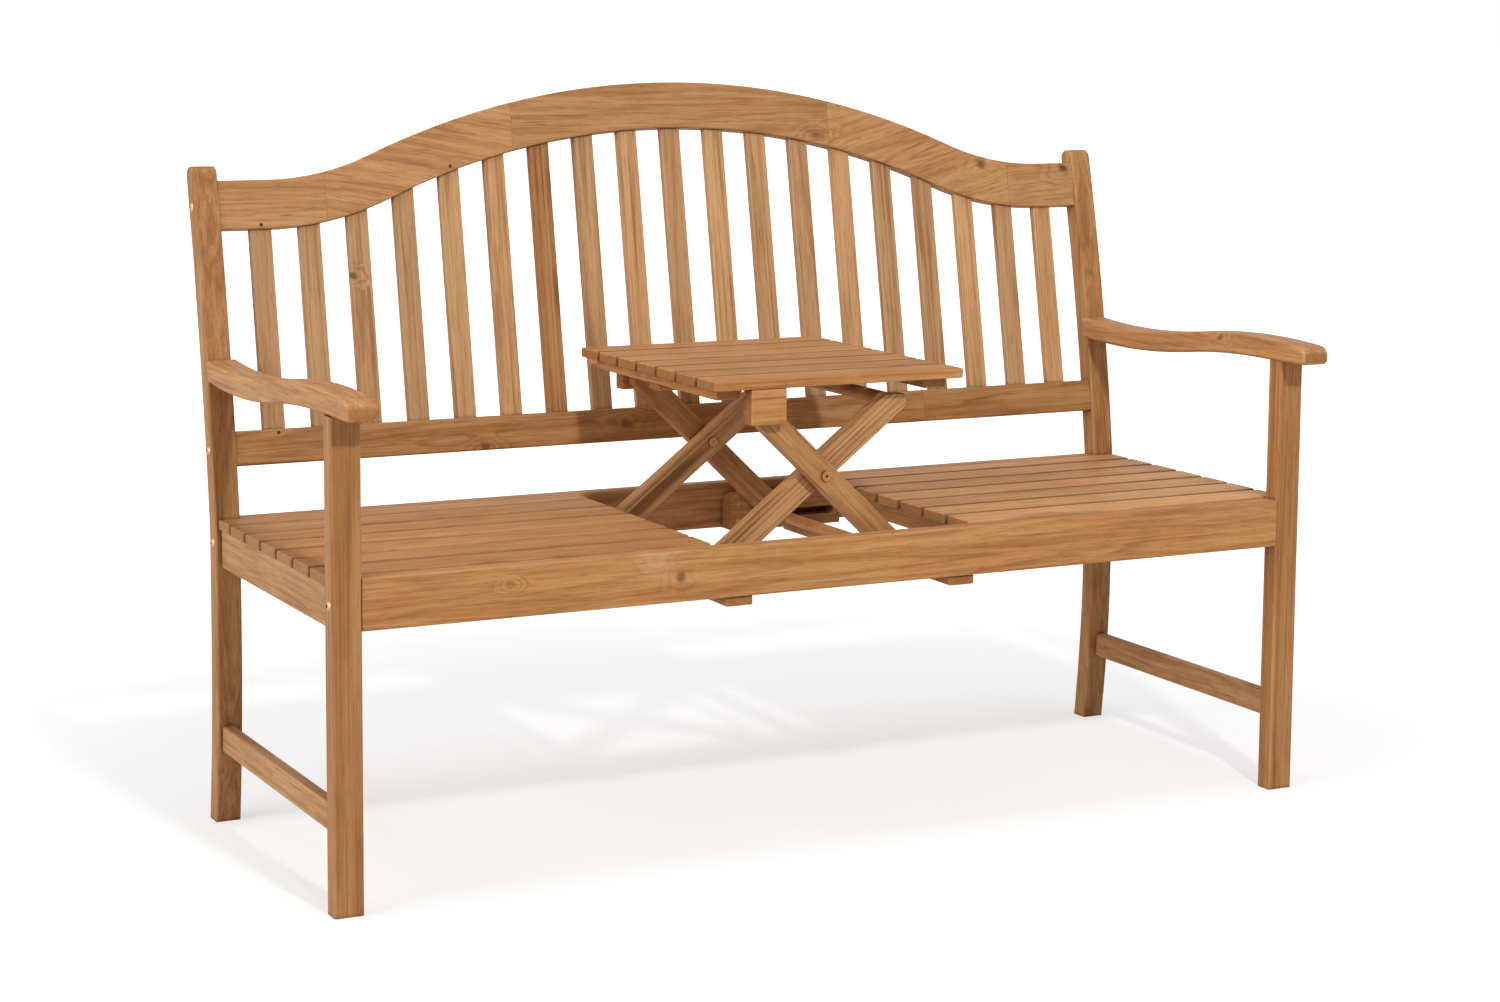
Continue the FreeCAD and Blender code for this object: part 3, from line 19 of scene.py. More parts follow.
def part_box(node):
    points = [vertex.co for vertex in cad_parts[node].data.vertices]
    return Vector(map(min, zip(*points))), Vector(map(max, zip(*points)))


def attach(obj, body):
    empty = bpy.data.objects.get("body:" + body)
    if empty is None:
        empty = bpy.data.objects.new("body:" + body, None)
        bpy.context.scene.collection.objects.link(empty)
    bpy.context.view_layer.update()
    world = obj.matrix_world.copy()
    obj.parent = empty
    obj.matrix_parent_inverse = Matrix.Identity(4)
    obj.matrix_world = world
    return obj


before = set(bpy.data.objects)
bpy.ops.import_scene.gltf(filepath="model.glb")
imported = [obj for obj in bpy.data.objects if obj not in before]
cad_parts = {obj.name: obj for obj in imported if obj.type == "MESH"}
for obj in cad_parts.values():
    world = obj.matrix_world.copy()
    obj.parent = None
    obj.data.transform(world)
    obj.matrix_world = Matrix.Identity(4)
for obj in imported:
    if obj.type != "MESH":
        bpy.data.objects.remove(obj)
LOG = logging.getLogger("bench")
MM = 0.001
WHITE = "#FFFFFF"
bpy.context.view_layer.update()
Socket = bpy.types.NodeSocket
Tree = bpy.types.NodeTree
# Nearly all values of a noise lie between these.
NOISE_LOW, NOISE_HIGH = 0.3, 0.7
# Rays that a point sends out to find how much open sky it has.
SKY_RAYS = 6
# How far a random draw may move a board along the log, and across it both ways.
LOG_SIZE = (9.0, 0.4, 0.4)


def linear(hex_colour: str) -> tuple[float, float, float, float]:
    """Turn an sRGB colour such as "#B8845A" into linear red, green, blue and a full alpha.

    Args:
        hex_colour: The colour, a # and six hex digits.

    Returns:
        The linear colour with alpha 1.
    """
    encoded = np.array([int(hex_colour[place:place + 2], 16) for place in (1, 3, 5)]) / 255.0
    decoded = np.where(encoded <= 0.04045, encoded / 12.92, ((encoded + 0.055) / 1.055) ** 2.4)
    return (float(decoded[0]), float(decoded[1]), float(decoded[2]), 1.0)


def add_node(tree: Tree, kind: str, inputs: dict | None = None,
             **settings: object) -> bpy.types.Node:
    """Add one shader node with its settings, its input values and its links.

    Args:
        tree: The node tree that gets the node.
        kind: The node type without the leading "ShaderNode".
        inputs: What goes into each input socket, by name or number: an output socket to link, or a
            value.
        **settings: Properties of the node.

    Returns:
        The new node.
    """
    made = tree.nodes.new(f"ShaderNode{kind}")
    for name, value in settings.items():
        setattr(made, name, value)
    for name, value in (inputs or {}).items():
        socket = made.inputs[name]
        if isinstance(value, Socket):
            tree.links.new(value, socket)
        else:
            socket.default_value = value
    return made


def new_material(name: str) -> tuple[bpy.types.Material, Tree, bpy.types.Node]:
    """Make an empty node material.

    Args:
        name: The material's name.

    Returns:
        The material, its node tree and its output node.
    """
    material = bpy.data.materials.new(name)
    material.use_nodes = True
    tree = material.node_tree
    tree.nodes.clear()
    return material, tree, add_node(tree, "OutputMaterial")


class Way(Enum):
    """The line that a board's grain runs along."""

    ALONG = (1.0, 0.0, 0.0)
    DEPTH = (0.0, 1.0, 0.0)
    UP = (0.0, 0.0, 1.0)


class Axis(Enum):
    """A coordinate, by the name of its socket."""

    X = "X"
    Y = "Y"
    Z = "Z"

    @property
    def index(self) -> int:
        """Return the coordinate's place in a point."""
        return "XYZ".index(self.value)


@dataclass(frozen=True)
class Row:
    """Boards side by side in one node, at an even pitch.

    Attributes:
        axis: The coordinate that counts the boards.
        count: How many boards there are.
        gap: Between two boards.
        last: Width of the last board where it differs.
        shade: Lightness of the painted shade on the edges that face each other across a gap.
    """

    axis: Axis
    count: int
    gap: float
    last: float | None = None
    shade: float = 0.6

    def measure(self, low: Vector, high: Vector) -> tuple[float, float, float]:
        """Work out the boards from the corners of their node.

        Args:
            low: Lowest corner.
            high: Highest corner.

        Returns:
            Where the first board begins, the pitch and the width of a board.
        """
        start, stop = low[self.axis.index], high[self.axis.index]
        if self.last is None:
            pitch = (stop - start + self.gap) / self.count
        else:
            pitch = (stop - start - self.last) / (self.count - 1)
        return start, pitch, pitch - self.gap


@dataclass(frozen=True)
class Scarf:
    """A glued joint where one timber ends and the next begins.

    Attributes:
        place: Where it is along X.
        turn_deg: How much the grain of the next timber rises more than that of the last.
        tone: Lightness of the next timber against that of the last.
    """

    place: float
    turn_deg: float = 0.0
    tone: float = 1.0


@dataclass(frozen=True)
class Knot:
    """The stub of a branch in a board.

    Attributes:
        place: Its middle, in the bench's own frame.
        radius: Radius of its heart.
        through: The line of the branch, across the face that shows it.
        dark: How dark the heart is, up to 1.
        pale: How pale the swirl round it is, up to 1.
        reach: How far growth lines close round it, in radii.
        fade: Distances between which the dark of the heart ends, in radii.
        squeeze: How much shorter lengths along the bench count, which widens it that way.
        waver: How far its outline wanders, in radii.
        uneven: Waves of that wandering in one radius.
    """

    place: tuple[float, float, float]
    radius: float
    through: Way = Way.DEPTH
    dark: float = 0.8
    pale: float = 0.0
    reach: float = 5.0
    fade: tuple[float, float] = (0.3, 1.25)
    squeeze: float = 0.65
    waver: float = 2.6
    uneven: float = 0.45


@dataclass(frozen=True)
class Cut:
    """How the boards of one node were cut from the log.

    Attributes:
        grain: Direction of the grain.
        seed: Picks the part of the log.
        row: Boards side by side, where there are several.
        scarfs: Glued joints along X.
        knots: Knots that show.
        tone: Lightness against the finish's own, 1 for the same.
        contrast: Strength of the growth lines against the finish's own.
        spread: How much lighter or darker a board of this node may be drawn.
        dry: How far the oil has soaked away, which pales the board.
        straight: How straight its growth lines and fibres run, against the finish's own.
    """

    grain: tuple[float, float, float]
    seed: float
    row: Row | None = None
    scarfs: tuple[Scarf, ...] = ()
    knots: tuple[Knot, ...] = ()
    tone: float = 1.0
    contrast: float = 1.0
    spread: float = 0.07
    dry: float = 0.0
    straight: float = 1.0


@dataclass(frozen=True)
class Stain:
    """A colour that shows where a pattern is strong.

    Attributes:
        colour: The colour.
        start: The pattern's value where the colour begins to show.
        full: The pattern's value where it shows most.
        most: How much of it shows there.
    """

    colour: str
    start: float
    full: float
    most: float = 1.0


@dataclass(frozen=True)
class Figure:
    """Noise across the grain that is drawn out along it.

    Attributes:
        width_mm: Its size across the grain.
        stretch: Its size across the grain over its size along it.
        detail: Levels of finer noise in it.
        rough: Strength of each finer level against the last.
    """

    width_mm: float
    stretch: float
    detail: float = 2.0
    rough: float = 0.5


@dataclass(frozen=True)
class GrowthLines:
    """Level lines of a noise, which wander and run into ovals as sawn growth rings do.

    Attributes:
        figure: The noise.
        count: Lines between the noise's lowest and highest values.
        waver: How far the streaks push a line aside, in spacings.
        rise: Where in a spacing a line begins and where it is full.
        fall: Where in a spacing it begins to fade and where it is gone.
        patches: Values of the blotches where lines are faint and where they are strong.
        strong: What the strong patches add to their strength.
        faint: Their strength everywhere.
        knot_lift: How far a knot lifts the noise, which closes lines round it.
        knot_strong: What a knot adds to their strength.
    """

    figure: Figure = Figure(30.0, 0.055, 1.5, 0.4)
    count: float = 8.0
    waver: float = 0.5
    rise: tuple[float, float] = (0.35, 0.9)
    fall: tuple[float, float] = (0.93, 1.0)
    patches: tuple[float, float] = (0.35, 0.68)
    strong: float = 0.42
    faint: float = 0.09
    knot_lift: float = 0.3
    knot_strong: float = 0.12


@dataclass(frozen=True)
class OiledAcacia:
    """Plantation acacia, planed, sanded and dipped in tinted oil.

    The oil gives the eye a golden tan with soft lighter and darker bands along the grain, fine
    wandering growth lines, brown pore dashes, boards that differ in tone, dark end grain and a low
    satin sheen.

    Attributes:
        pale, body, amber, bleached: Colours of the wood between its lines.
        line, shade, heart: Colours of the growth lines, the dark streaks and the hearts of knots.
        band, blotch, ripple, streak, pore: Figures, from the broadest to the pores.
        lines: The growth lines.
        pale_bands to sawn_ends: Stains, each named for what it colours.
        glue_mm, glue_shade: Half width and lightness of the line of glue at a scarf.
        gap_shade_mm: How far from a gap the painted shade of an edge begins to fade, and where
        it ends.
        painted_crevice_mm: How near other surfaces lie where shade is painted into the wood.
        painted_crevice_open: Shares of open sky where the painted shade is darkest and where
            it ends.
        painted_crevice_lightness: Lightness where the painted shade is darkest.
        roughness: Roughness of the lowest fibres and of the highest.
        sheen_level, ior: Strength and index of the oil's reflection.
        relief, relief_mm: Strength and height of the fibres' relief.
    """

    pale: str = "#BE8E5A"
    body: str = "#A97441"
    amber: str = "#AF6F40"
    bleached: str = "#D8B68C"
    line: str = "#7C5028"
    shade: str = "#8A5A2E"
    heart: str = "#5A3A1C"
    band: Figure = Figure(13.0, 0.022)
    blotch: Figure = Figure(34.0, 0.16, 3.0, 0.6)
    ripple: Figure = Figure(11.0, 0.3, 3.0, 0.6)
    streak: Figure = Figure(3.4, 0.04, 4.0, 0.65)
    # Real pores are a third of this wide; they are drawn as coarse as the picture can show.
    pore: Figure = Figure(1.4, 0.04)
    lines: GrowthLines = GrowthLines()
    pale_bands: Stain = Stain(pale, 0.32, 0.68)
    amber_blotches: Stain = Stain(amber, 0.4, 0.7, 0.5)
    dark_ripples: Stain = Stain(shade, 0.5, 0.72, 0.3)
    pale_ripples: Stain = Stain(pale, 0.5, 0.28, 0.25)
    amber_boards: Stain = Stain(amber, 0.0, 1.0, 0.3)
    dark_streaks: Stain = Stain(shade, 0.46, 0.74, 0.62)
    pale_streaks: Stain = Stain(pale, 0.5, 0.3, 0.35)
    pores: Stain = Stain("#69431F", 0.58, 0.72, 0.5)
    sawn_ends: Stain = Stain("#8C5C30", 0.8, 0.97, 0.7)
    glue_mm: float = 0.5
    glue_shade: float = 0.74
    gap_shade_mm: tuple[float, float] = (0.8, 2.0)
    painted_crevice_mm: float = 10.0
    painted_crevice_open: tuple[float, float] = (0.3, 0.8)
    painted_crevice_lightness: float = 0.32
    roughness: tuple[float, float] = (0.5, 0.66)
    sheen_level: float = 0.2
    ior: float = 1.48
    relief: float = 0.45
    relief_mm: float = 0.3

    def material(self, name: str, cut: Cut, low: Vector, high: Vector) -> bpy.types.Material:
        """Make the material of one node's boards.

        Args:
            name: The material's name.
            cut: How the boards lie.
            low: Lowest corner of the node.
            high: Highest corner of the node.

        Returns:
            The material.
        """
        material, tree, output = new_material(name)
        tree.links.new(Boards(self, cut, low, high, tree).surface(), output.inputs["Surface"])
        return material


@dataclass
class Boards:
    """The boards of one node in the wood's finish, as shader nodes.

    A point p is read from the middle c of its board and turned so that the grain runs along local
    X: q = R(p - c) + s, with s a random shift for each board.  Bands, streaks and pores are noise
    of several widths at q, and growth lines are the level lines of such noise.

    Attributes:
        wood: The timber's finish.
        cut: How the boards lie.
        low: Lowest corner of the node.
        high: Highest corner of the node.
        tree: The material's tree.
    """

    wood: OiledAcacia
    cut: Cut
    low: Vector
    high: Vector
    tree: Tree

    def __post_init__(self) -> None:
        """Read the Object coordinates."""
        self.place = self.add("TexCoord", out="Object")
        self.split = add_node(self.tree, "SeparateXYZ", {"Vector": self.place}).outputs

    def add(self, kind: str, inputs: dict | None = None, out: int | str = 0,
            **settings: object) -> Socket:
        """Add a node to the material's tree and return one of its outputs."""
        return add_node(self.tree, kind, inputs, **settings).outputs[out]

    def surface(self) -> Socket:
        """Lay the patterns, the painted shade and the relief together.

        Returns:
            The finished surface.
        """
        wood, add = self.wood, self.add
        local, draws = self._board_frame()
        near_knot, swirl, heart = self._knots()
        colour, fibre = self._grain(local, draws, near_knot)
        if self.cut.knots:
            for share, over in ((swirl, wood.bleached), (heart, wood.heart)):
                colour = add("Mix", {"Factor": share, "A": colour, "B": linear(over)},
                             data_type="RGBA", out="Result")
        colour = self._stained(colour, self._facing_along(), wood.sawn_ends)
        # Painted shade: darker where little open sky reaches, in crevices and along joints.
        tone = add("Math", {0: self._tone(draws), 1: self._painted_crevice_shade()}, operation="MULTIPLY")
        # Painted shade on the edges that face each other across a row's gaps.
        if self.cut.row:
            tone = add("Math", {0: tone, 1: self._painted_gap_shade()}, operation="MULTIPLY")
        colour = add("VectorMath", {0: colour, "Scale": tone}, operation="SCALE")
        smooth, rough = wood.roughness
        rough = add("MapRange", {"Value": fibre, "From Min": NOISE_LOW, "From Max": NOISE_HIGH,
                                 "To Min": smooth, "To Max": rough})
        bump = add("Bump", {"Height": fibre, "Strength": wood.relief,
                            "Distance": wood.relief_mm * MM})
        return add("BsdfPrincipled", {"Base Color": colour, "Roughness": rough, "Normal": bump,
                                      "IOR": wood.ior,
                                      "Specular IOR Level": wood.sheen_level})

    def _shown(self, pattern: Socket, stain: Stain) -> Socket:
        """Return how much of a stain shows, rising smoothly with its pattern."""
        return self.add("MapRange", {"Value": pattern, "From Min": stain.start,
                                     "From Max": stain.full, "To Max": stain.most},
                        interpolation_type="SMOOTHSTEP")

    def _stained(self, under: Socket | tuple[float, ...], pattern: Socket, stain: Stain) -> Socket:
        """Lay a stain over a colour.

        Args:
            under: The colour under it.
            pattern: What it follows.
            stain: The stain.

        Returns:
            The colour with the stain.
        """
        return self.add("Mix", {"Factor": self._shown(pattern, stain), "A": under,
                                "B": linear(stain.colour)}, data_type="RGBA", out="Result")

    def _drawn_out(self, local: Socket, figure: Figure, straight: float = 1.0) -> Socket:
        """Make the noise of a figure in the board.

        Args:
            local: The place in the board, grain along X.
            figure: The figure.
            straight: How much further it is drawn out in this board.

        Returns:
            The noise, mostly between NOISE_LOW and NOISE_HIGH.
        """
        pressed = self.add("VectorMath", {0: local, 1: (figure.stretch / straight, 1.0, 1.0)},
                           operation="MULTIPLY")
        return self.add("TexNoise", {"Vector": pressed, "Scale": 1 / (figure.width_mm * MM),
                                     "Detail": figure.detail, "Roughness": figure.rough})

    def _past(self, scarf: Scarf) -> Socket:
        """Return 1 past a scarf and 0 before it."""
        return self.add("Math", {0: self.split["X"], 1: scarf.place}, operation="GREATER_THAN")

    def _board_frame(self) -> tuple[Socket, bpy.types.bpy_prop_collection]:
        """Work out the place in the board and its random draw.

        Returns:
            The place with the grain along X, and three random numbers for the board.
        """
        cut, add, local = self.cut, self.add, self.place
        middle = (self.low + self.high) / 2
        number = add("Value")
        number.default_value = cut.seed
        if cut.row:
            start, pitch, width = cut.row.measure(self.low, self.high)
            middle[cut.row.axis.index] = start + width / 2
            ahead = add("Math", {0: self.split[cut.row.axis.value], 1: start - (pitch - width) / 2},
                        operation="SUBTRACT")
            step = add("Math", {0: ahead, 1: pitch}, operation="DIVIDE")
            step = add("Math", {0: step}, operation="FLOOR")
            number = add("Math", {0: step, 1: number}, operation="ADD")
            shift = add("Math", {0: step, 1: pitch}, operation="MULTIPLY")
            moved = add("CombineXYZ", {cut.row.axis.value: shift})
            local = add("VectorMath", {0: local, 1: moved}, operation="SUBTRACT")
        local = add("VectorMath", {0: local, 1: middle}, operation="SUBTRACT")
        turn = Vector(cut.grain).rotation_difference(Vector(Way.ALONG.value))
        local = add("VectorRotate", {"Vector": local, "Rotation": turn.to_euler("XYZ")},
                    rotation_type="EULER_XYZ")
        slope = 0.0
        for scarf in cut.scarfs:
            past = self._past(scarf)
            number = add("Math", {0: number, 1: past}, operation="ADD")
            slope = add("Math", {0: past, 1: -math.radians(scarf.turn_deg), 2: slope},
                        operation="MULTIPLY_ADD")
        if cut.scarfs:
            local = add("VectorRotate", {"Vector": local, "Angle": slope, "Axis": Way.DEPTH.value},
                        rotation_type="AXIS_ANGLE")
        draw = add("TexWhiteNoise", {"W": number}, noise_dimensions="1D", out="Color")
        local = add("VectorMath", {0: draw, 1: LOG_SIZE, 2: local}, operation="MULTIPLY_ADD")
        return local, add_node(self.tree, "SeparateColor", {"Color": draw}).outputs

    def _knots(self) -> tuple[Socket | float, ...]:
        """Measure how near a point is to the board's knots.

        For each knot, d is the distance from the branch's line over the heart's radius, made uneven
        by noise.  The nearness falls from 1 to 0 up to d = reach, and the dark over the fade.

        Returns:
            The nearness, the paleness round the knots and the dark of their hearts, from 0 to 1.
        """
        add = self.add
        bend, pale, dark = 0.0, 0.0, 0.0
        for knot in self.cut.knots:
            radius = knot.radius
            uneven = add("TexNoise", {"Vector": self.place, "Scale": knot.uneven / radius,
                                      "Detail": 3.0}, out="Color")
            mask = Vector([1.0 - part for part in knot.through.value])
            mask.x *= knot.squeeze
            centre = Vector(knot.place) + Vector((knot.waver / 2 * radius,) * 3)
            away = add("VectorMath", {0: self.place, 1: centre}, operation="SUBTRACT")
            away = add("VectorMath", {0: uneven, 1: (knot.waver * radius,) * 3, 2: away},
                       operation="MULTIPLY_ADD")
            away = add("VectorMath", {0: away, 1: mask}, operation="MULTIPLY")
            far = add("VectorMath", {0: away}, operation="LENGTH", out="Value")
            near, core = (
                add("MapRange", {"Value": far, "From Min": full * radius, "From Max": end * radius,
                                 "To Min": most, "To Max": 0.0}, interpolation_type="SMOOTHSTEP")
                for full, end, most in ((0.0, knot.reach, 1.0), (*knot.fade, knot.dark)))
            bend = add("Math", {0: near, 1: bend}, operation="MAXIMUM")
            dark = add("Math", {0: core, 1: dark}, operation="MAXIMUM")
            pale = add("Math", {0: near, 1: knot.pale, 2: pale}, operation="MULTIPLY_ADD")
        return bend, pale, dark

    def _lines(self, near_knot: Socket | float, field_noise: Socket, streak: Socket,
               blotch: Socket) -> Socket:
        """Draw the growth lines.

        With f the noise, lifted near a knot, a spacing runs while n f goes up by 1.  Its fraction
        rises to a full line and falls off sharply, and the line is strong where the blotches are.

        Args:
            near_knot: Nearness of a knot.
            field_noise: The noise whose level lines they are.
            streak: The streaks, which push the lines aside.
            blotch: The blotches.

        Returns:
            How much of the lines' colour shows.
        """
        add, lines, contrast = self.add, self.wood.lines, self.cut.contrast
        lifted = add("Math", {0: near_knot, 1: lines.knot_lift, 2: field_noise},
                     operation="MULTIPLY_ADD")
        level = add("Math", {0: lifted, 1: lines.count}, operation="MULTIPLY")
        level = add("Math", {0: streak, 1: lines.waver, 2: level}, operation="MULTIPLY_ADD")
        level = add("Math", {0: level}, operation="FRACT")
        rise, fall, strong = (add("MapRange", {"Value": value, "From Min": start, "From Max": stop,
                                               "To Max": most},
                                  interpolation_type="SMOOTHSTEP")
                              for value, (start, stop), most in (
                                  (level, lines.rise, 1.0), (level, lines.fall, 1.0),
                                  (blotch, lines.patches, lines.strong * contrast)))
        line = add("Math", {0: rise, 1: fall}, operation="SUBTRACT")
        strong = add("Math", {0: strong, 1: lines.faint * contrast}, operation="ADD")
        if self.cut.knots:
            strong = add("Math", {0: near_knot, 1: lines.knot_strong, 2: strong},
                         operation="MULTIPLY_ADD", use_clamp=True)
        return add("Math", {0: line, 1: strong}, operation="MULTIPLY", use_clamp=True)

    def _grain(self, local: Socket, draws: bpy.types.bpy_prop_collection,
               near_knot: Socket | float) -> tuple[Socket, Socket]:
        """Lay the patterns that run along the board over each other, the broad ones first.

        Args:
            local: The place in the board, grain along X.
            draws: Three random numbers for the board.
            near_knot: Nearness of a knot.

        Returns:
            The colour, and the height of the fibres.
        """
        wood, cut, add = self.wood, self.cut, self.add
        band, blotch, ripple, pore = (self._drawn_out(local, figure) for figure in
                                      (wood.band, wood.blotch, wood.ripple, wood.pore))
        field_noise, streak = (self._drawn_out(local, figure, cut.straight)
                               for figure in (wood.lines.figure, wood.streak))
        colour = linear(wood.body)
        for pattern, stain in ((band, wood.pale_bands), (blotch, wood.amber_blotches),
                               (ripple, wood.dark_ripples), (ripple, wood.pale_ripples),
                               (draws["Green"], wood.amber_boards)):
            colour = self._stained(colour, pattern, stain)
        if cut.dry:
            colour = add("Mix", {"Factor": cut.dry, "A": colour, "B": linear(wood.bleached)},
                         data_type="RGBA", out="Result")
        for stain in (wood.dark_streaks, wood.pale_streaks):
            colour = self._stained(colour, streak, stain)
        line = self._lines(near_knot, field_noise, streak, blotch)
        dash = self._shown(pore, wood.pores)
        for share, over in ((line, wood.line), (dash, wood.pores.colour)):
            colour = add("Mix", {"Factor": share, "A": colour, "B": linear(over)},
                         data_type="RGBA", out="Result")
        return colour, add("Math", {0: streak, 1: dash}, operation="SUBTRACT")

    def _tone(self, draws: bpy.types.bpy_prop_collection) -> Socket:
        """Work out the lightness of each timber, with a dark line of glue at each scarf.

        Args:
            draws: Three random numbers for the board.

        Returns:
            What the colour is multiplied by.
        """
        wood, cut, add = self.wood, self.cut, self.add
        tone = add("MapRange", {"Value": draws["Red"], "To Min": cut.tone * (1.0 - cut.spread),
                                "To Max": cut.tone * (1.0 + cut.spread)})
        for scarf in cut.scarfs:
            lighter = add("Math", {0: self._past(scarf), 1: scarf.tone - 1.0, 2: 1.0},
                          operation="MULTIPLY_ADD")
            tone = add("Math", {0: tone, 1: lighter}, operation="MULTIPLY")
            off = add("Math", {0: self.split["X"], 1: scarf.place}, operation="SUBTRACT")
            off = add("Math", {0: off}, operation="ABSOLUTE")
            clear = add("MapRange", {"Value": off, "From Max": 2 * wood.glue_mm * MM,
                                     "To Min": wood.glue_shade}, interpolation_type="SMOOTHSTEP")
            tone = add("Math", {0: tone, 1: clear}, operation="MULTIPLY")
        return tone

    def _painted_gap_shade(self) -> Socket:
        """Paint shade on the edges that face each other across the gaps of a row.

        With u the place from the middle of the gap before the first board, the nearest gap between
        two boards is at k = round(u / pitch), held from 1 to the last, and the dark depends on
        |u - k pitch|.

        Returns:
            What the lightness is multiplied by.
        """
        row, add = self.cut.row, self.add
        start, pitch, _ = row.measure(self.low, self.high)
        ahead = add("Math", {0: self.split[row.axis.value], 1: start - row.gap / 2},
                    operation="SUBTRACT")
        step = add("Math", {0: ahead, 1: pitch}, operation="DIVIDE")
        step = add("Math", {0: step}, operation="ROUND")
        step = add("Clamp", {"Value": step, "Min": 1.0, "Max": row.count - 1.0})
        middle = add("Math", {0: step, 1: pitch}, operation="MULTIPLY")
        off = add("Math", {0: ahead, 1: middle}, operation="SUBTRACT")
        off = add("Math", {0: off}, operation="ABSOLUTE")
        near, far = (row.gap / 2 + edge * MM for edge in self.wood.gap_shade_mm)
        return add("MapRange", {"Value": off, "From Min": near, "From Max": far,
                                "To Min": row.shade}, interpolation_type="SMOOTHSTEP")

    def _painted_crevice_shade(self) -> Socket:
        """Paint shade into the wood where other surfaces lie near, in gaps and along joints.

        Returns:
            What the lightness is multiplied by.
        """
        wood = self.wood
        # Painted shade from the share of open sky round each point.
        clear = self.add("AmbientOcclusion", {"Distance": wood.painted_crevice_mm * MM},
                         samples=SKY_RAYS, out="AO")
        closed, opened = wood.painted_crevice_open
        return self.add("MapRange", {"Value": clear, "From Min": closed, "From Max": opened,
                                     "To Min": wood.painted_crevice_lightness},
                        interpolation_type="SMOOTHSTEP")

    def _facing_along(self) -> Socket:
        """Find how squarely the surface faces along the grain, as sawn ends do.

        Returns:
            1 along the grain and 0 across it.
        """
        facing = self.add("TexCoord", out="Normal")
        along = self.add("VectorMath", {0: facing, 1: Vector(self.cut.grain).normalized()},
                         operation="DOT_PRODUCT", out="Value")
        return self.add("Math", {0: along}, operation="ABSOLUTE")


@dataclass(frozen=True)
class Metal:
    """A metal surface with fine smudges and painted shade round its rims.

    Attributes:
        colour: Its reflected colour.
        shade: Its colour where it has dulled.
        roughness: Roughness where it is clean.
        dulled: What the smudges add to the roughness.
        smudge_mm: Size of the dull patches.
        relief: Strength of their relief.
        relief_mm: Depth of their relief.
        painted_rim_mm: How near other surfaces lie where shade is painted round the rim of a head.
        painted_rim_open: Shares of open sky where the painted shade is darkest and where it ends.
        painted_rim_lightness: Lightness where the painted shade is darkest.
    """

    colour: str
    shade: str
    roughness: float
    dulled: float = 0.15
    smudge_mm: float = 2.0
    relief: float = 0.5
    relief_mm: float = 0.3
    painted_rim_mm: float = 4.0
    painted_rim_open: tuple[float, float] = (0.5, 0.95)
    painted_rim_lightness: float = 0.25

    def material(self, name: str) -> bpy.types.Material:
        """Make the material: duller where a soft noise is high, with painted shade round the rims.

        Args:
            name: The material's name.

        Returns:
            The material.
        """
        material, tree, output = new_material(name)
        add = partial(add_node, tree)
        place = add("TexCoord").outputs["Object"]
        smudge = add("TexNoise", {"Vector": place, "Scale": 1 / (self.smudge_mm * MM),
                                  "Detail": 4.0}).outputs["Fac"]
        colour = add("Mix", {"Factor": smudge, "A": linear(self.colour), "B": linear(self.shade)},
                     data_type="RGBA").outputs["Result"]
        # Painted shade round the rim of a head, where the wood lies near.
        open_sky = add("AmbientOcclusion", {"Distance": self.painted_rim_mm * MM},
                       samples=SKY_RAYS).outputs["AO"]
        closed, opened = self.painted_rim_open
        clear = add("MapRange", {"Value": open_sky, "From Min": closed, "From Max": opened,
                                 "To Min": self.painted_rim_lightness}).outputs["Result"]
        colour = add("VectorMath", {0: colour, "Scale": clear}, operation="SCALE").outputs[0]
        rough = add("MapRange", {"Value": smudge, "From Min": NOISE_LOW, "From Max": NOISE_HIGH,
                                 "To Min": self.roughness,
                                 "To Max": self.roughness + self.dulled}).outputs["Result"]
        bump = add("Bump", {"Height": smudge, "Strength": self.relief,
                            "Distance": self.relief_mm * MM}).outputs["Normal"]
        shader = add("BsdfPrincipled", {"Base Color": colour, "Metallic": 1.0, "Roughness": rough,
                                        "Normal": bump}).outputs["BSDF"]
        tree.links.new(shader, output.inputs["Surface"])
        return material


# Turned brass, lacquered: a pale gold that mirrors the lights softly.
BRASS = Metal("#E8C09A", "#A3743F", roughness=0.36)
# The same brass where the folding arms rub it: darker and scuffed.
WORN_BRASS = Metal("#C8955F", "#6A4626", roughness=0.3)
# Yellow plated screws, browned by the oil of the dipped wood round them.
PLATED_STEEL = Metal("#B8935F", "#76562F", roughness=0.4, painted_rim_mm=1.0)
# Bare steel in the small ends of the brads, nearly black.
BRAD_STEEL = Metal("#5A473A", "#33261D", roughness=0.6, smudge_mm=1.0)


@dataclass
class Joinery:
    """A sub-assembly whose nodes are dressed as boards or as metal.

    Attributes:
        wood: The timber's finish.
        cuts: How the boards of each node lie, by node.
        metals: The finish of each metal node, by node.
    """

    wood: OiledAcacia
    cuts: dict[str, Cut] = field(default_factory=dict, init=False)
    metals: dict[str, Metal] = field(default_factory=dict, init=False)

    def dress(self) -> None:
        """Give every node of the sub-assembly its finish."""
        for name, cut in self.cuts.items():
            low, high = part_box(name)
            self._assign(name, self.wood.material(f"acacia_{name}", cut, low, high))
        for name, metal in self.metals.items():
            self._assign(name, metal.material(f"metal_{name}"))

    def _assign(self, name: str, material: bpy.types.Material) -> None:
        """Put a material in every slot of a node.

        Args:
            name: The node.
            material: The material.
        """
        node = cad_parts[name]
        if not node.material_slots:
            node.data.materials.append(material)
        for slot in node.material_slots:
            slot.material = material
        LOG.info("dressed %s", name)


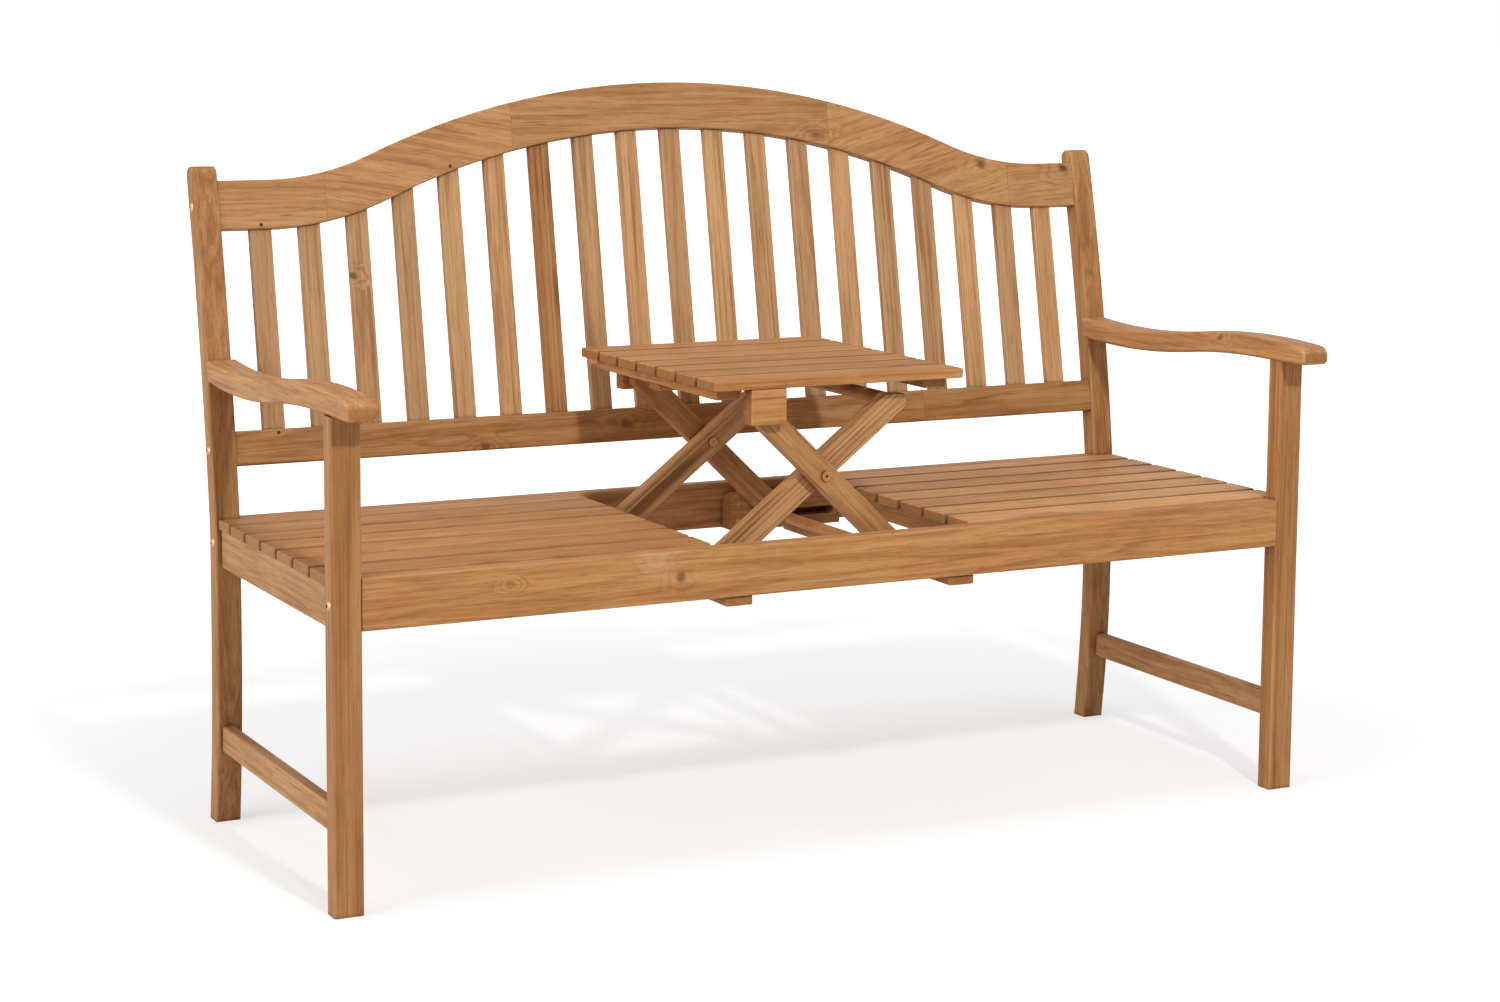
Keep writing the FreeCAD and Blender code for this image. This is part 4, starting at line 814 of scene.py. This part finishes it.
def mirrored(name: str, cut: Cut, step: float = 50.0) -> dict[str, Cut]:
    """Return the cuts of a left and a right node that are alike but from another part of the log.

    Args:
        name: The nodes' name without its side.
        cut: How the left one lies.
        step: What the right one's seed is more by.

    Returns:
        The two cuts by node.
    """
    return {f"{name}_left": cut, f"{name}_right": replace(cut, seed=cut.seed + step)}


def slanted(angle_deg: float) -> tuple[float, float, float]:
    """Return the direction that rises by an angle from +X in the upright plane along the bench."""
    angle = math.radians(angle_deg)
    return (math.cos(angle), 0.0, math.sin(angle))


def leaning(angle_deg: float) -> tuple[float, float, float]:
    """Return the direction that leans back from upright by an angle."""
    angle = math.radians(angle_deg)
    return (0.0, math.sin(angle), math.cos(angle))


@dataclass
class SideFrames(Joinery):
    """Legs, posts, arms and the timbers that join them front to back.

    Attributes:
        post_lean_deg: How far the grain of the posts leans back.
        arm_knot: A knot on top of the right arm.
    """

    post_lean_deg: float = 4.0
    arm_knot: Knot = Knot((0.7045, -0.137, 0.662), 0.0065, Way.ALONG, dark=0.75)

    def __post_init__(self) -> None:
        """Lay out the cuts."""
        deep = Way.DEPTH.value
        cuts = self.cuts
        cuts |= mirrored("front_leg", Cut(Way.UP.value, seed=3.0, tone=0.85, spread=0.02,
                                          straight=3.0))
        cuts |= mirrored("back_post", Cut(leaning(self.post_lean_deg), seed=11.0, tone=0.9,
                                          spread=0.02))
        cuts |= mirrored("arm", Cut(deep, seed=17.0, tone=0.97, dry=0.1))
        cuts["arm_right"] = replace(cuts["arm_right"], knots=(self.arm_knot,))
        cuts |= mirrored("side_seat_rail", Cut(deep, seed=23.0, tone=0.98, dry=0.1))
        cuts |= mirrored("side_stretcher", Cut(deep, seed=29.0, tone=0.97, dry=0.15))
        self.metals["frame_bolts"] = BRASS


@dataclass
class Back(Joinery):
    """Crest rail, lower back rail, the upright slats between them and the brads that hold two.

    Attributes:
        slats: How many slats there are.
        striped_slat: The slat with bold stripes, counted from the left.
        knotty_slat: The slat with a knot.
        lean_deg: How far the slats lean back.
        rail_middle: Y and Z of the middle of the lower back rail.
        rail_depth: Depth of the rails.
        brads: Brads through the tenons of slats: name, place along X and height.
    """

    slats: int = 19
    striped_slat: int = 7
    knotty_slat: int = 3
    lean_deg: float = 10.69
    rail_middle: tuple[float, float] = (0.23427, 0.5305)
    rail_depth: float = 0.025
    brads: tuple[tuple[str, float, float], ...] = (
        ("brad_left", -0.655, 0.8415), ("brad_middle", -0.363, 0.9185),
        ("brad_low", -0.6505, 0.5518))

    def __post_init__(self) -> None:
        """Lay out the cuts."""
        self.cuts["crest_rail"] = Cut(
            Way.ALONG.value, seed=31.0, spread=0.0, contrast=0.9, dry=0.12,
            scarfs=(Scarf(-0.556, 10.0), Scarf(-0.262, -10.0, 0.9), Scarf(0.27, -16.0, 1.1),
                    Scarf(0.59, 12.0, 0.97)),
            knots=(Knot((0.250, 0.30, 0.955), 0.007, dark=0.45),
                   Knot((0.542, 0.292, 0.904), 0.007),
                   Knot((0.697, 0.292, 0.897), 0.008, dark=0.9)))
        self.cuts["lower_back_rail"] = Cut(
            Way.ALONG.value, seed=37.0, spread=0.0, contrast=1.2, tone=0.86,
            scarfs=(Scarf(0.402),),
            knots=(Knot((-0.113, 0.218, 0.531), 0.008, dark=0.6),
                   Knot((-0.340, 0.219, 0.513), 0.006, dark=0.75)))
        plain = Cut(leaning(self.lean_deg), seed=100.0, contrast=1.2, tone=0.98, spread=0.12,
                    dry=0.34, straight=2.5)
        striped = replace(plain, contrast=2.4, dry=0.0, straight=6.0)
        for number in range(1, self.slats + 1):
            slat = striped if number == self.striped_slat else plain
            if number == self.knotty_slat:
                slat = replace(slat, knots=(Knot((-0.522, 0.266, 0.765), 0.0045),))
            self.cuts[f"back_slat_{number:02d}"] = replace(slat, seed=slat.seed + 3.0 * number)

    def front_face(self, across: float, up: float) -> Vector:
        """Find a point of the front face of the back rails.

        With t the lean, m the rails' middle and d their depth, y = m_y + (z - m_z) tan t
        - d / (2 cos t).

        Args:
            across: Its place along X.
            up: Its height.

        Returns:
            The point.
        """
        lean = math.radians(self.lean_deg)
        back, level = self.rail_middle
        return Vector((across, back + (up - level) * math.tan(lean)
                       - self.rail_depth / 2 / math.cos(lean), up))

    def nail(self, finish: Metal) -> None:
        """Drive the brads into the front face, at right angles to it.

        Args:
            finish: Their metal.
        """
        lean = math.radians(self.lean_deg)
        out = Vector((0.0, -math.cos(lean), math.sin(lean)))
        for name, across, up in self.brads:
            Brad(name, self.front_face(across, up), out).build(finish)


@dataclass(frozen=True)
class Brad:
    """Headless nail that pins a tenon, its end just proud of the wood.

    Attributes:
        name: The piece's name.
        place: Where it meets the surface.
        facing: Direction that it points out of the wood.
        radius: Radius of its end.
        proud: How far the dome of its end stands out.
        sunk: How deep its buried end lies.
        sides: Corners round it.
        dome_rings: Rings of corners up the dome.
    """

    name: str
    place: Vector
    facing: Vector
    radius: float = 0.0026
    proud: float = 0.0005
    sunk: float = 0.003
    sides: int = 16
    dome_rings: int = 4

    def build(self, finish: Metal) -> None:
        """Make the brad as a surface of revolution.

        The profile of radius r and height z goes from the middle of the buried end over its rim,
        up the shank and over the dome, r = R cos(a), z = P sin(a).  It turns about its own axis.

        Args:
            finish: Its metal.
        """
        rise = np.linspace(0.0, math.pi / 2, self.dome_rings + 1)[:-1]
        radius = np.concatenate(([self.radius], self.radius * np.cos(rise)))
        height = np.concatenate(([-self.sunk], self.proud * np.sin(rise)))
        turn = np.linspace(0.0, math.tau, self.sides, endpoint=False)
        rings, sides = len(radius), self.sides
        points = np.stack((np.outer(radius, np.cos(turn)), np.outer(radius, np.sin(turn)),
                           np.repeat(height[:, None], sides, axis=1)), axis=2).reshape(-1, 3)
        points = np.vstack((points, [[0.0, 0.0, -self.sunk], [0.0, 0.0, self.proud]]))
        ring, side = np.meshgrid(np.arange(rings - 1), np.arange(sides), indexing="ij")
        here, beside = ring * sides + side, ring * sides + (side + 1) % sides
        walls = np.stack((here, beside, beside + sides, here + sides), axis=2).reshape(-1, 4)
        spin = np.arange(sides)
        after = (spin + 1) % sides
        low, high = rings * sides, rings * sides + 1
        top = (rings - 1) * sides
        floor = np.stack((after, spin, np.full(sides, low)), axis=1)
        crown = np.stack((top + spin, top + after, np.full(sides, high)), axis=1)
        lay = self.facing.to_track_quat("Z", "Y").to_matrix()
        placed = points @ np.array(lay).T + np.array(self.place)
        mesh = bpy.data.meshes.new(self.name)
        mesh.from_pydata(placed.tolist(), [], walls.tolist() + floor.tolist() + crown.tolist())
        mesh.materials.append(finish.material(f"metal_{self.name}"))
        piece = bpy.data.objects.new(self.name, mesh)
        bpy.context.scene.collection.objects.link(piece)
        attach(piece, "bench")
        LOG.info("made %s", self.name)


@dataclass
class Seat(Joinery):
    """Seat rails and slats, with the bearers, battens and track boards under them.

    Attributes:
        slat_row: The slats of one side.
        rail_knots: Knots on the face of the front rail.
    """

    slat_row: Row = Row(Axis.Y, 7, 0.009, 0.046)
    rail_knots: tuple[Knot, ...] = (Knot((-0.265, -0.2817, 0.4020), 0.0055, dark=0.7),
                                    Knot((-0.302, -0.2817, 0.4250), 0.006, dark=0.1, pale=0.25),
                                    Knot((-0.508, -0.2817, 0.4120), 0.004, dark=0.2))

    def __post_init__(self) -> None:
        """Lay out the cuts."""
        along = Way.ALONG.value
        self.cuts |= {
            "front_seat_rail": Cut(along, seed=41.0, spread=0.0, knots=self.rail_knots),
            "back_seat_rail": Cut(along, seed=43.0, tone=0.93),
            "track_board_front": Cut(along, seed=59.0, tone=0.93),
            "track_board_back": Cut(along, seed=61.0, tone=0.93),
            # Each side's shade is the lightness of the painted shade in its gaps.
            "seat_slats_left": Cut(along, seed=201.0, row=replace(self.slat_row, shade=0.8),
                                   tone=1.05, spread=0.1),
            "seat_slats_right": Cut(along, seed=251.0, row=replace(self.slat_row, shade=0.46),
                                    tone=1.18, spread=0.1, dry=0.14),
        }
        self.cuts |= mirrored("inner_bearer", Cut(Way.DEPTH.value, seed=47.0, tone=0.95))
        self.cuts |= mirrored("lower_batten", Cut(Way.DEPTH.value, seed=53.0))
        self.metals["screws"] = PLATED_STEEL


@dataclass
class FoldingLegs(Joinery):
    """The two scissor pairs with their slide bar, stretcher, pivots and blocks.

    Attributes:
        inner_deg: Rise of the inner arms along +X.
        outer_deg: Rise of the outer arms along +X.
    """

    inner_deg: float = 37.6
    outer_deg: float = -43.6

    def __post_init__(self) -> None:
        """Lay out the cuts."""
        for number, end in enumerate(("front", "back")):
            step = 5.0 * number
            self.cuts |= {
                f"inner_arm_{end}": Cut(slanted(self.inner_deg), seed=67.0 + step, contrast=2.2,
                                        tone=1.08, dry=0.25, straight=3.0),
                f"outer_arm_{end}": Cut(slanted(self.outer_deg), seed=83.0 + step, tone=0.93,
                                        spread=0.03),
                f"pivot_block_{end}": Cut(Way.ALONG.value, seed=311.0 + step),
                f"hinge_block_{end}": Cut(Way.ALONG.value, seed=331.0 + step, contrast=1.8),
            }
        self.cuts["inner_stretcher"] = Cut(Way.DEPTH.value, seed=351.0)
        self.cuts["slide_bar"] = Cut(Way.DEPTH.value, seed=357.0)
        for name in ("cross_bolts", "lower_hinge_bolts", "upper_hinge_pins"):
            self.metals[name] = WORN_BRASS


@dataclass
class TableTop(Joinery):
    """Table slats, their battens and the lath that rides on the round stretcher.

    Attributes:
        slat_row: The slats.
    """

    slat_row: Row = Row(Axis.Y, 7, 0.00825)

    def __post_init__(self) -> None:
        """Lay out the cuts."""
        along = Way.ALONG.value
        self.cuts["table_slats"] = Cut(along, seed=401.0, row=self.slat_row, spread=0.09)
        self.cuts["table_runner"] = Cut(along, seed=419.0, tone=0.97)
        self.cuts |= mirrored("table_batten", Cut(Way.DEPTH.value, seed=421.0))


@dataclass(frozen=True)
class Camera:
    """The place and lens of the photograph.

    Attributes:
        place: Where the camera stands.
        azimuth: Heading from +Y towards +X, radians.
        pitch: Look below level, radians.
        roll: Turn about the line of sight, radians.
        lens_mm: Focal length.
        sensor_mm: Width of the sensor.
        shift: Framing shift up, in widths of the picture.
        reach: How far it sees.
    """

    place: tuple[float, float, float] = (-1.96912, -3.79630, 1.16066)
    azimuth: float = 0.47441
    pitch: float = 0.11928
    roll: float = 0.00758
    lens_mm: float = 71.81
    sensor_mm: float = 36.0
    shift: float = -0.094
    reach: float = 200.0

    def build(self) -> None:
        """Make the camera and hand it to the scene."""
        ahead = Vector((math.sin(self.azimuth) * math.cos(self.pitch),
                        math.cos(self.azimuth) * math.cos(self.pitch), -math.sin(self.pitch)))
        level = Vector((math.cos(self.azimuth), -math.sin(self.azimuth), 0.0))
        above = level.cross(ahead)
        right = math.cos(self.roll) * level + math.sin(self.roll) * above
        above = -math.sin(self.roll) * level + math.cos(self.roll) * above
        data = bpy.data.cameras.new("camera")
        data.sensor_fit = "HORIZONTAL"
        data.sensor_width = self.sensor_mm
        data.lens = self.lens_mm
        data.shift_y = self.shift
        data.clip_end = self.reach
        camera = bpy.data.objects.new("camera", data)
        turn = Matrix((right, above, -ahead)).transposed().to_4x4()
        camera.matrix_world = Matrix.Translation(self.place) @ turn
        bpy.context.scene.collection.objects.link(camera)
        bpy.context.scene.camera = camera


@dataclass(frozen=True)
class FarLamp:
    """A far lamp, whose light comes from one direction.

    Attributes:
        name: Its name.
        strength: Irradiance at the bench, W/m2.
        heading_deg: Where its light comes from, from +Y towards +X.
        height_deg: Its height above the floor.
        spread_deg: Apparent width, which softens the shadows.
    """

    name: str
    strength: float
    heading_deg: float
    height_deg: float
    spread_deg: float

    def build(self) -> None:
        """Make the lamp."""
        data = bpy.data.lights.new(self.name, "SUN")
        data.energy = self.strength
        data.angle = math.radians(self.spread_deg)
        lamp = bpy.data.objects.new(self.name, data)
        heading, height = math.radians(self.heading_deg), math.radians(self.height_deg)
        source = Vector((math.sin(heading) * math.cos(height), math.cos(heading) * math.cos(height),
                         math.sin(height)))
        lamp.rotation_euler = source.to_track_quat("Z", "Y").to_euler()
        bpy.context.scene.collection.objects.link(lamp)


@dataclass(frozen=True)
class NearLamp:
    """A round soft box a few metres in front of the bench.

    Attributes:
        name: Its name.
        strength: Irradiance at the place it is aimed at, W/m2.
        place: Where it hangs.
        aim: Where it is aimed at.
        width: Its diameter.
    """

    name: str
    strength: float
    place: tuple[float, float, float]
    aim: tuple[float, float, float]
    width: float

    def build(self) -> None:
        """Make the lamp, with the power pi E d^2 that gives irradiance E at distance d."""
        back = Vector(self.place) - Vector(self.aim)
        data = bpy.data.lights.new(self.name, "AREA")
        data.shape = "DISK"
        data.size = self.width
        data.energy = math.pi * self.strength * back.length_squared
        lamp = bpy.data.objects.new(self.name, data)
        lamp.location = self.place
        lamp.rotation_euler = back.to_track_quat("Z", "Y").to_euler()
        lamp.visible_camera = False
        bpy.context.scene.collection.objects.link(lamp)


@dataclass(frozen=True)
class Studio:
    """A pale floor, soft light and a white background.

    Attributes:
        lamps: The lamps.
        room_light: Strength of the light from all round.
        floor_reach: Half the side of the floor.
        floor_white: Reflectance of the floor for the light that it returns to the bench.
        floor_catch: Reflectance of the floor for the light that the camera sees on it.
        floor_glow: Part of the floor's white that the camera sees whatever falls on it, near
            the bench.
        floor_fade: Distances from the bench's middle between which that part rises to 1.
    """

    lamps: tuple[FarLamp | NearLamp, ...] = (
        NearLamp("key_lamp", strength=1.6, place=(-0.35, -4.0, 3.2), aim=(0.0, 0.0, 0.6),
                 width=0.3),
        FarLamp("fill_lamp", strength=2.1, heading_deg=262.0, height_deg=17.0, spread_deg=50.0),
        FarLamp("top_lamp", strength=0.55, heading_deg=183.0, height_deg=86.0, spread_deg=14.0),
    )
    room_light: float = 0.37
    floor_reach: float = 60.0
    floor_white: float = 0.72
    floor_catch: float = 0.42
    floor_glow: float = 0.61
    floor_fade: tuple[float, float] = (0.8, 2.6)

    def build(self) -> None:
        """Make the floor, the lamps and the room."""
        for lamp in self.lamps:
            lamp.build()
        self._room()
        self._floor()
        view = bpy.context.scene.view_settings
        view.view_transform = "Standard"

    def _seen(self, tree: Tree) -> Socket:
        """Tell the rays that show the background from those that light the bench.

        Args:
            tree: The tree of the floor or the room.

        Returns:
            1 for a ray that shows the background and 0 for one that lights the bench.
        """
        path = add_node(tree, "LightPath").outputs
        seen = add_node(tree, "Math", {0: path["Is Camera Ray"], 1: path["Is Glossy Ray"]},
                        operation="ADD").outputs[0]
        return add_node(tree, "Math", {0: seen, 1: path["Is Transmission Ray"]},
                        operation="ADD", use_clamp=True).outputs[0]

    def _room(self) -> None:
        """Light the room evenly and show it white."""
        world = bpy.data.worlds.new("room")
        bpy.context.scene.world = world
        world.use_nodes = True
        tree = world.node_tree
        tree.nodes.clear()
        level = add_node(tree, "MapRange", {"Value": self._seen(tree),
                                            "To Min": self.room_light}).outputs["Result"]
        back = add_node(tree, "Background", {"Color": linear(WHITE), "Strength": level}).outputs[0]
        add_node(tree, "OutputWorld", {"Surface": back})

    def _floor(self) -> None:
        """Lay the floor: white to the camera apart from the soft shadow of the bench."""
        far = self.floor_reach
        corners = [(-far, -far, 0.0), (far, -far, 0.0), (far, far, 0.0), (-far, far, 0.0)]
        mesh = bpy.data.meshes.new("floor")
        mesh.from_pydata(corners, [], [(0, 1, 2, 3)])
        floor = bpy.data.objects.new("floor", mesh)
        bpy.context.scene.collection.objects.link(floor)
        material, tree, output = new_material("studio_floor")
        add = partial(add_node, tree)
        plain, catch = (add("BsdfDiffuse", {"Color": (level,) * 3 + (1.0,)}).outputs[0]
                        for level in (self.floor_white, self.floor_catch))
        place = add("TexCoord").outputs["Object"]
        away = add("VectorMath", {0: place}, operation="LENGTH").outputs["Value"]
        start, stop = self.floor_fade
        level = add("MapRange", {"Value": away, "From Min": start, "From Max": stop,
                                 "To Min": self.floor_glow},
                    interpolation_type="SMOOTHSTEP").outputs["Result"]
        glow = add("Emission", {"Color": linear(WHITE), "Strength": level}).outputs[0]
        shown = add("AddShader", {0: catch, 1: glow}).outputs[0]
        both = add("MixShader", {0: self._seen(tree), 1: plain, 2: shown}).outputs[0]
        tree.links.new(both, output.inputs["Surface"])
        mesh.materials.append(material)


def main() -> None:
    """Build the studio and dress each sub-assembly."""
    logging.basicConfig(level=logging.INFO, format="%(name)s: %(message)s")
    Camera().build()
    Studio().build()
    wood = OiledAcacia()
    back = Back(wood)
    for assembly in (SideFrames(wood), back, Seat(wood), FoldingLegs(wood), TableTop(wood)):
        assembly.dress()
    back.nail(BRAD_STEEL)


if __name__ == "__main__":
    main()
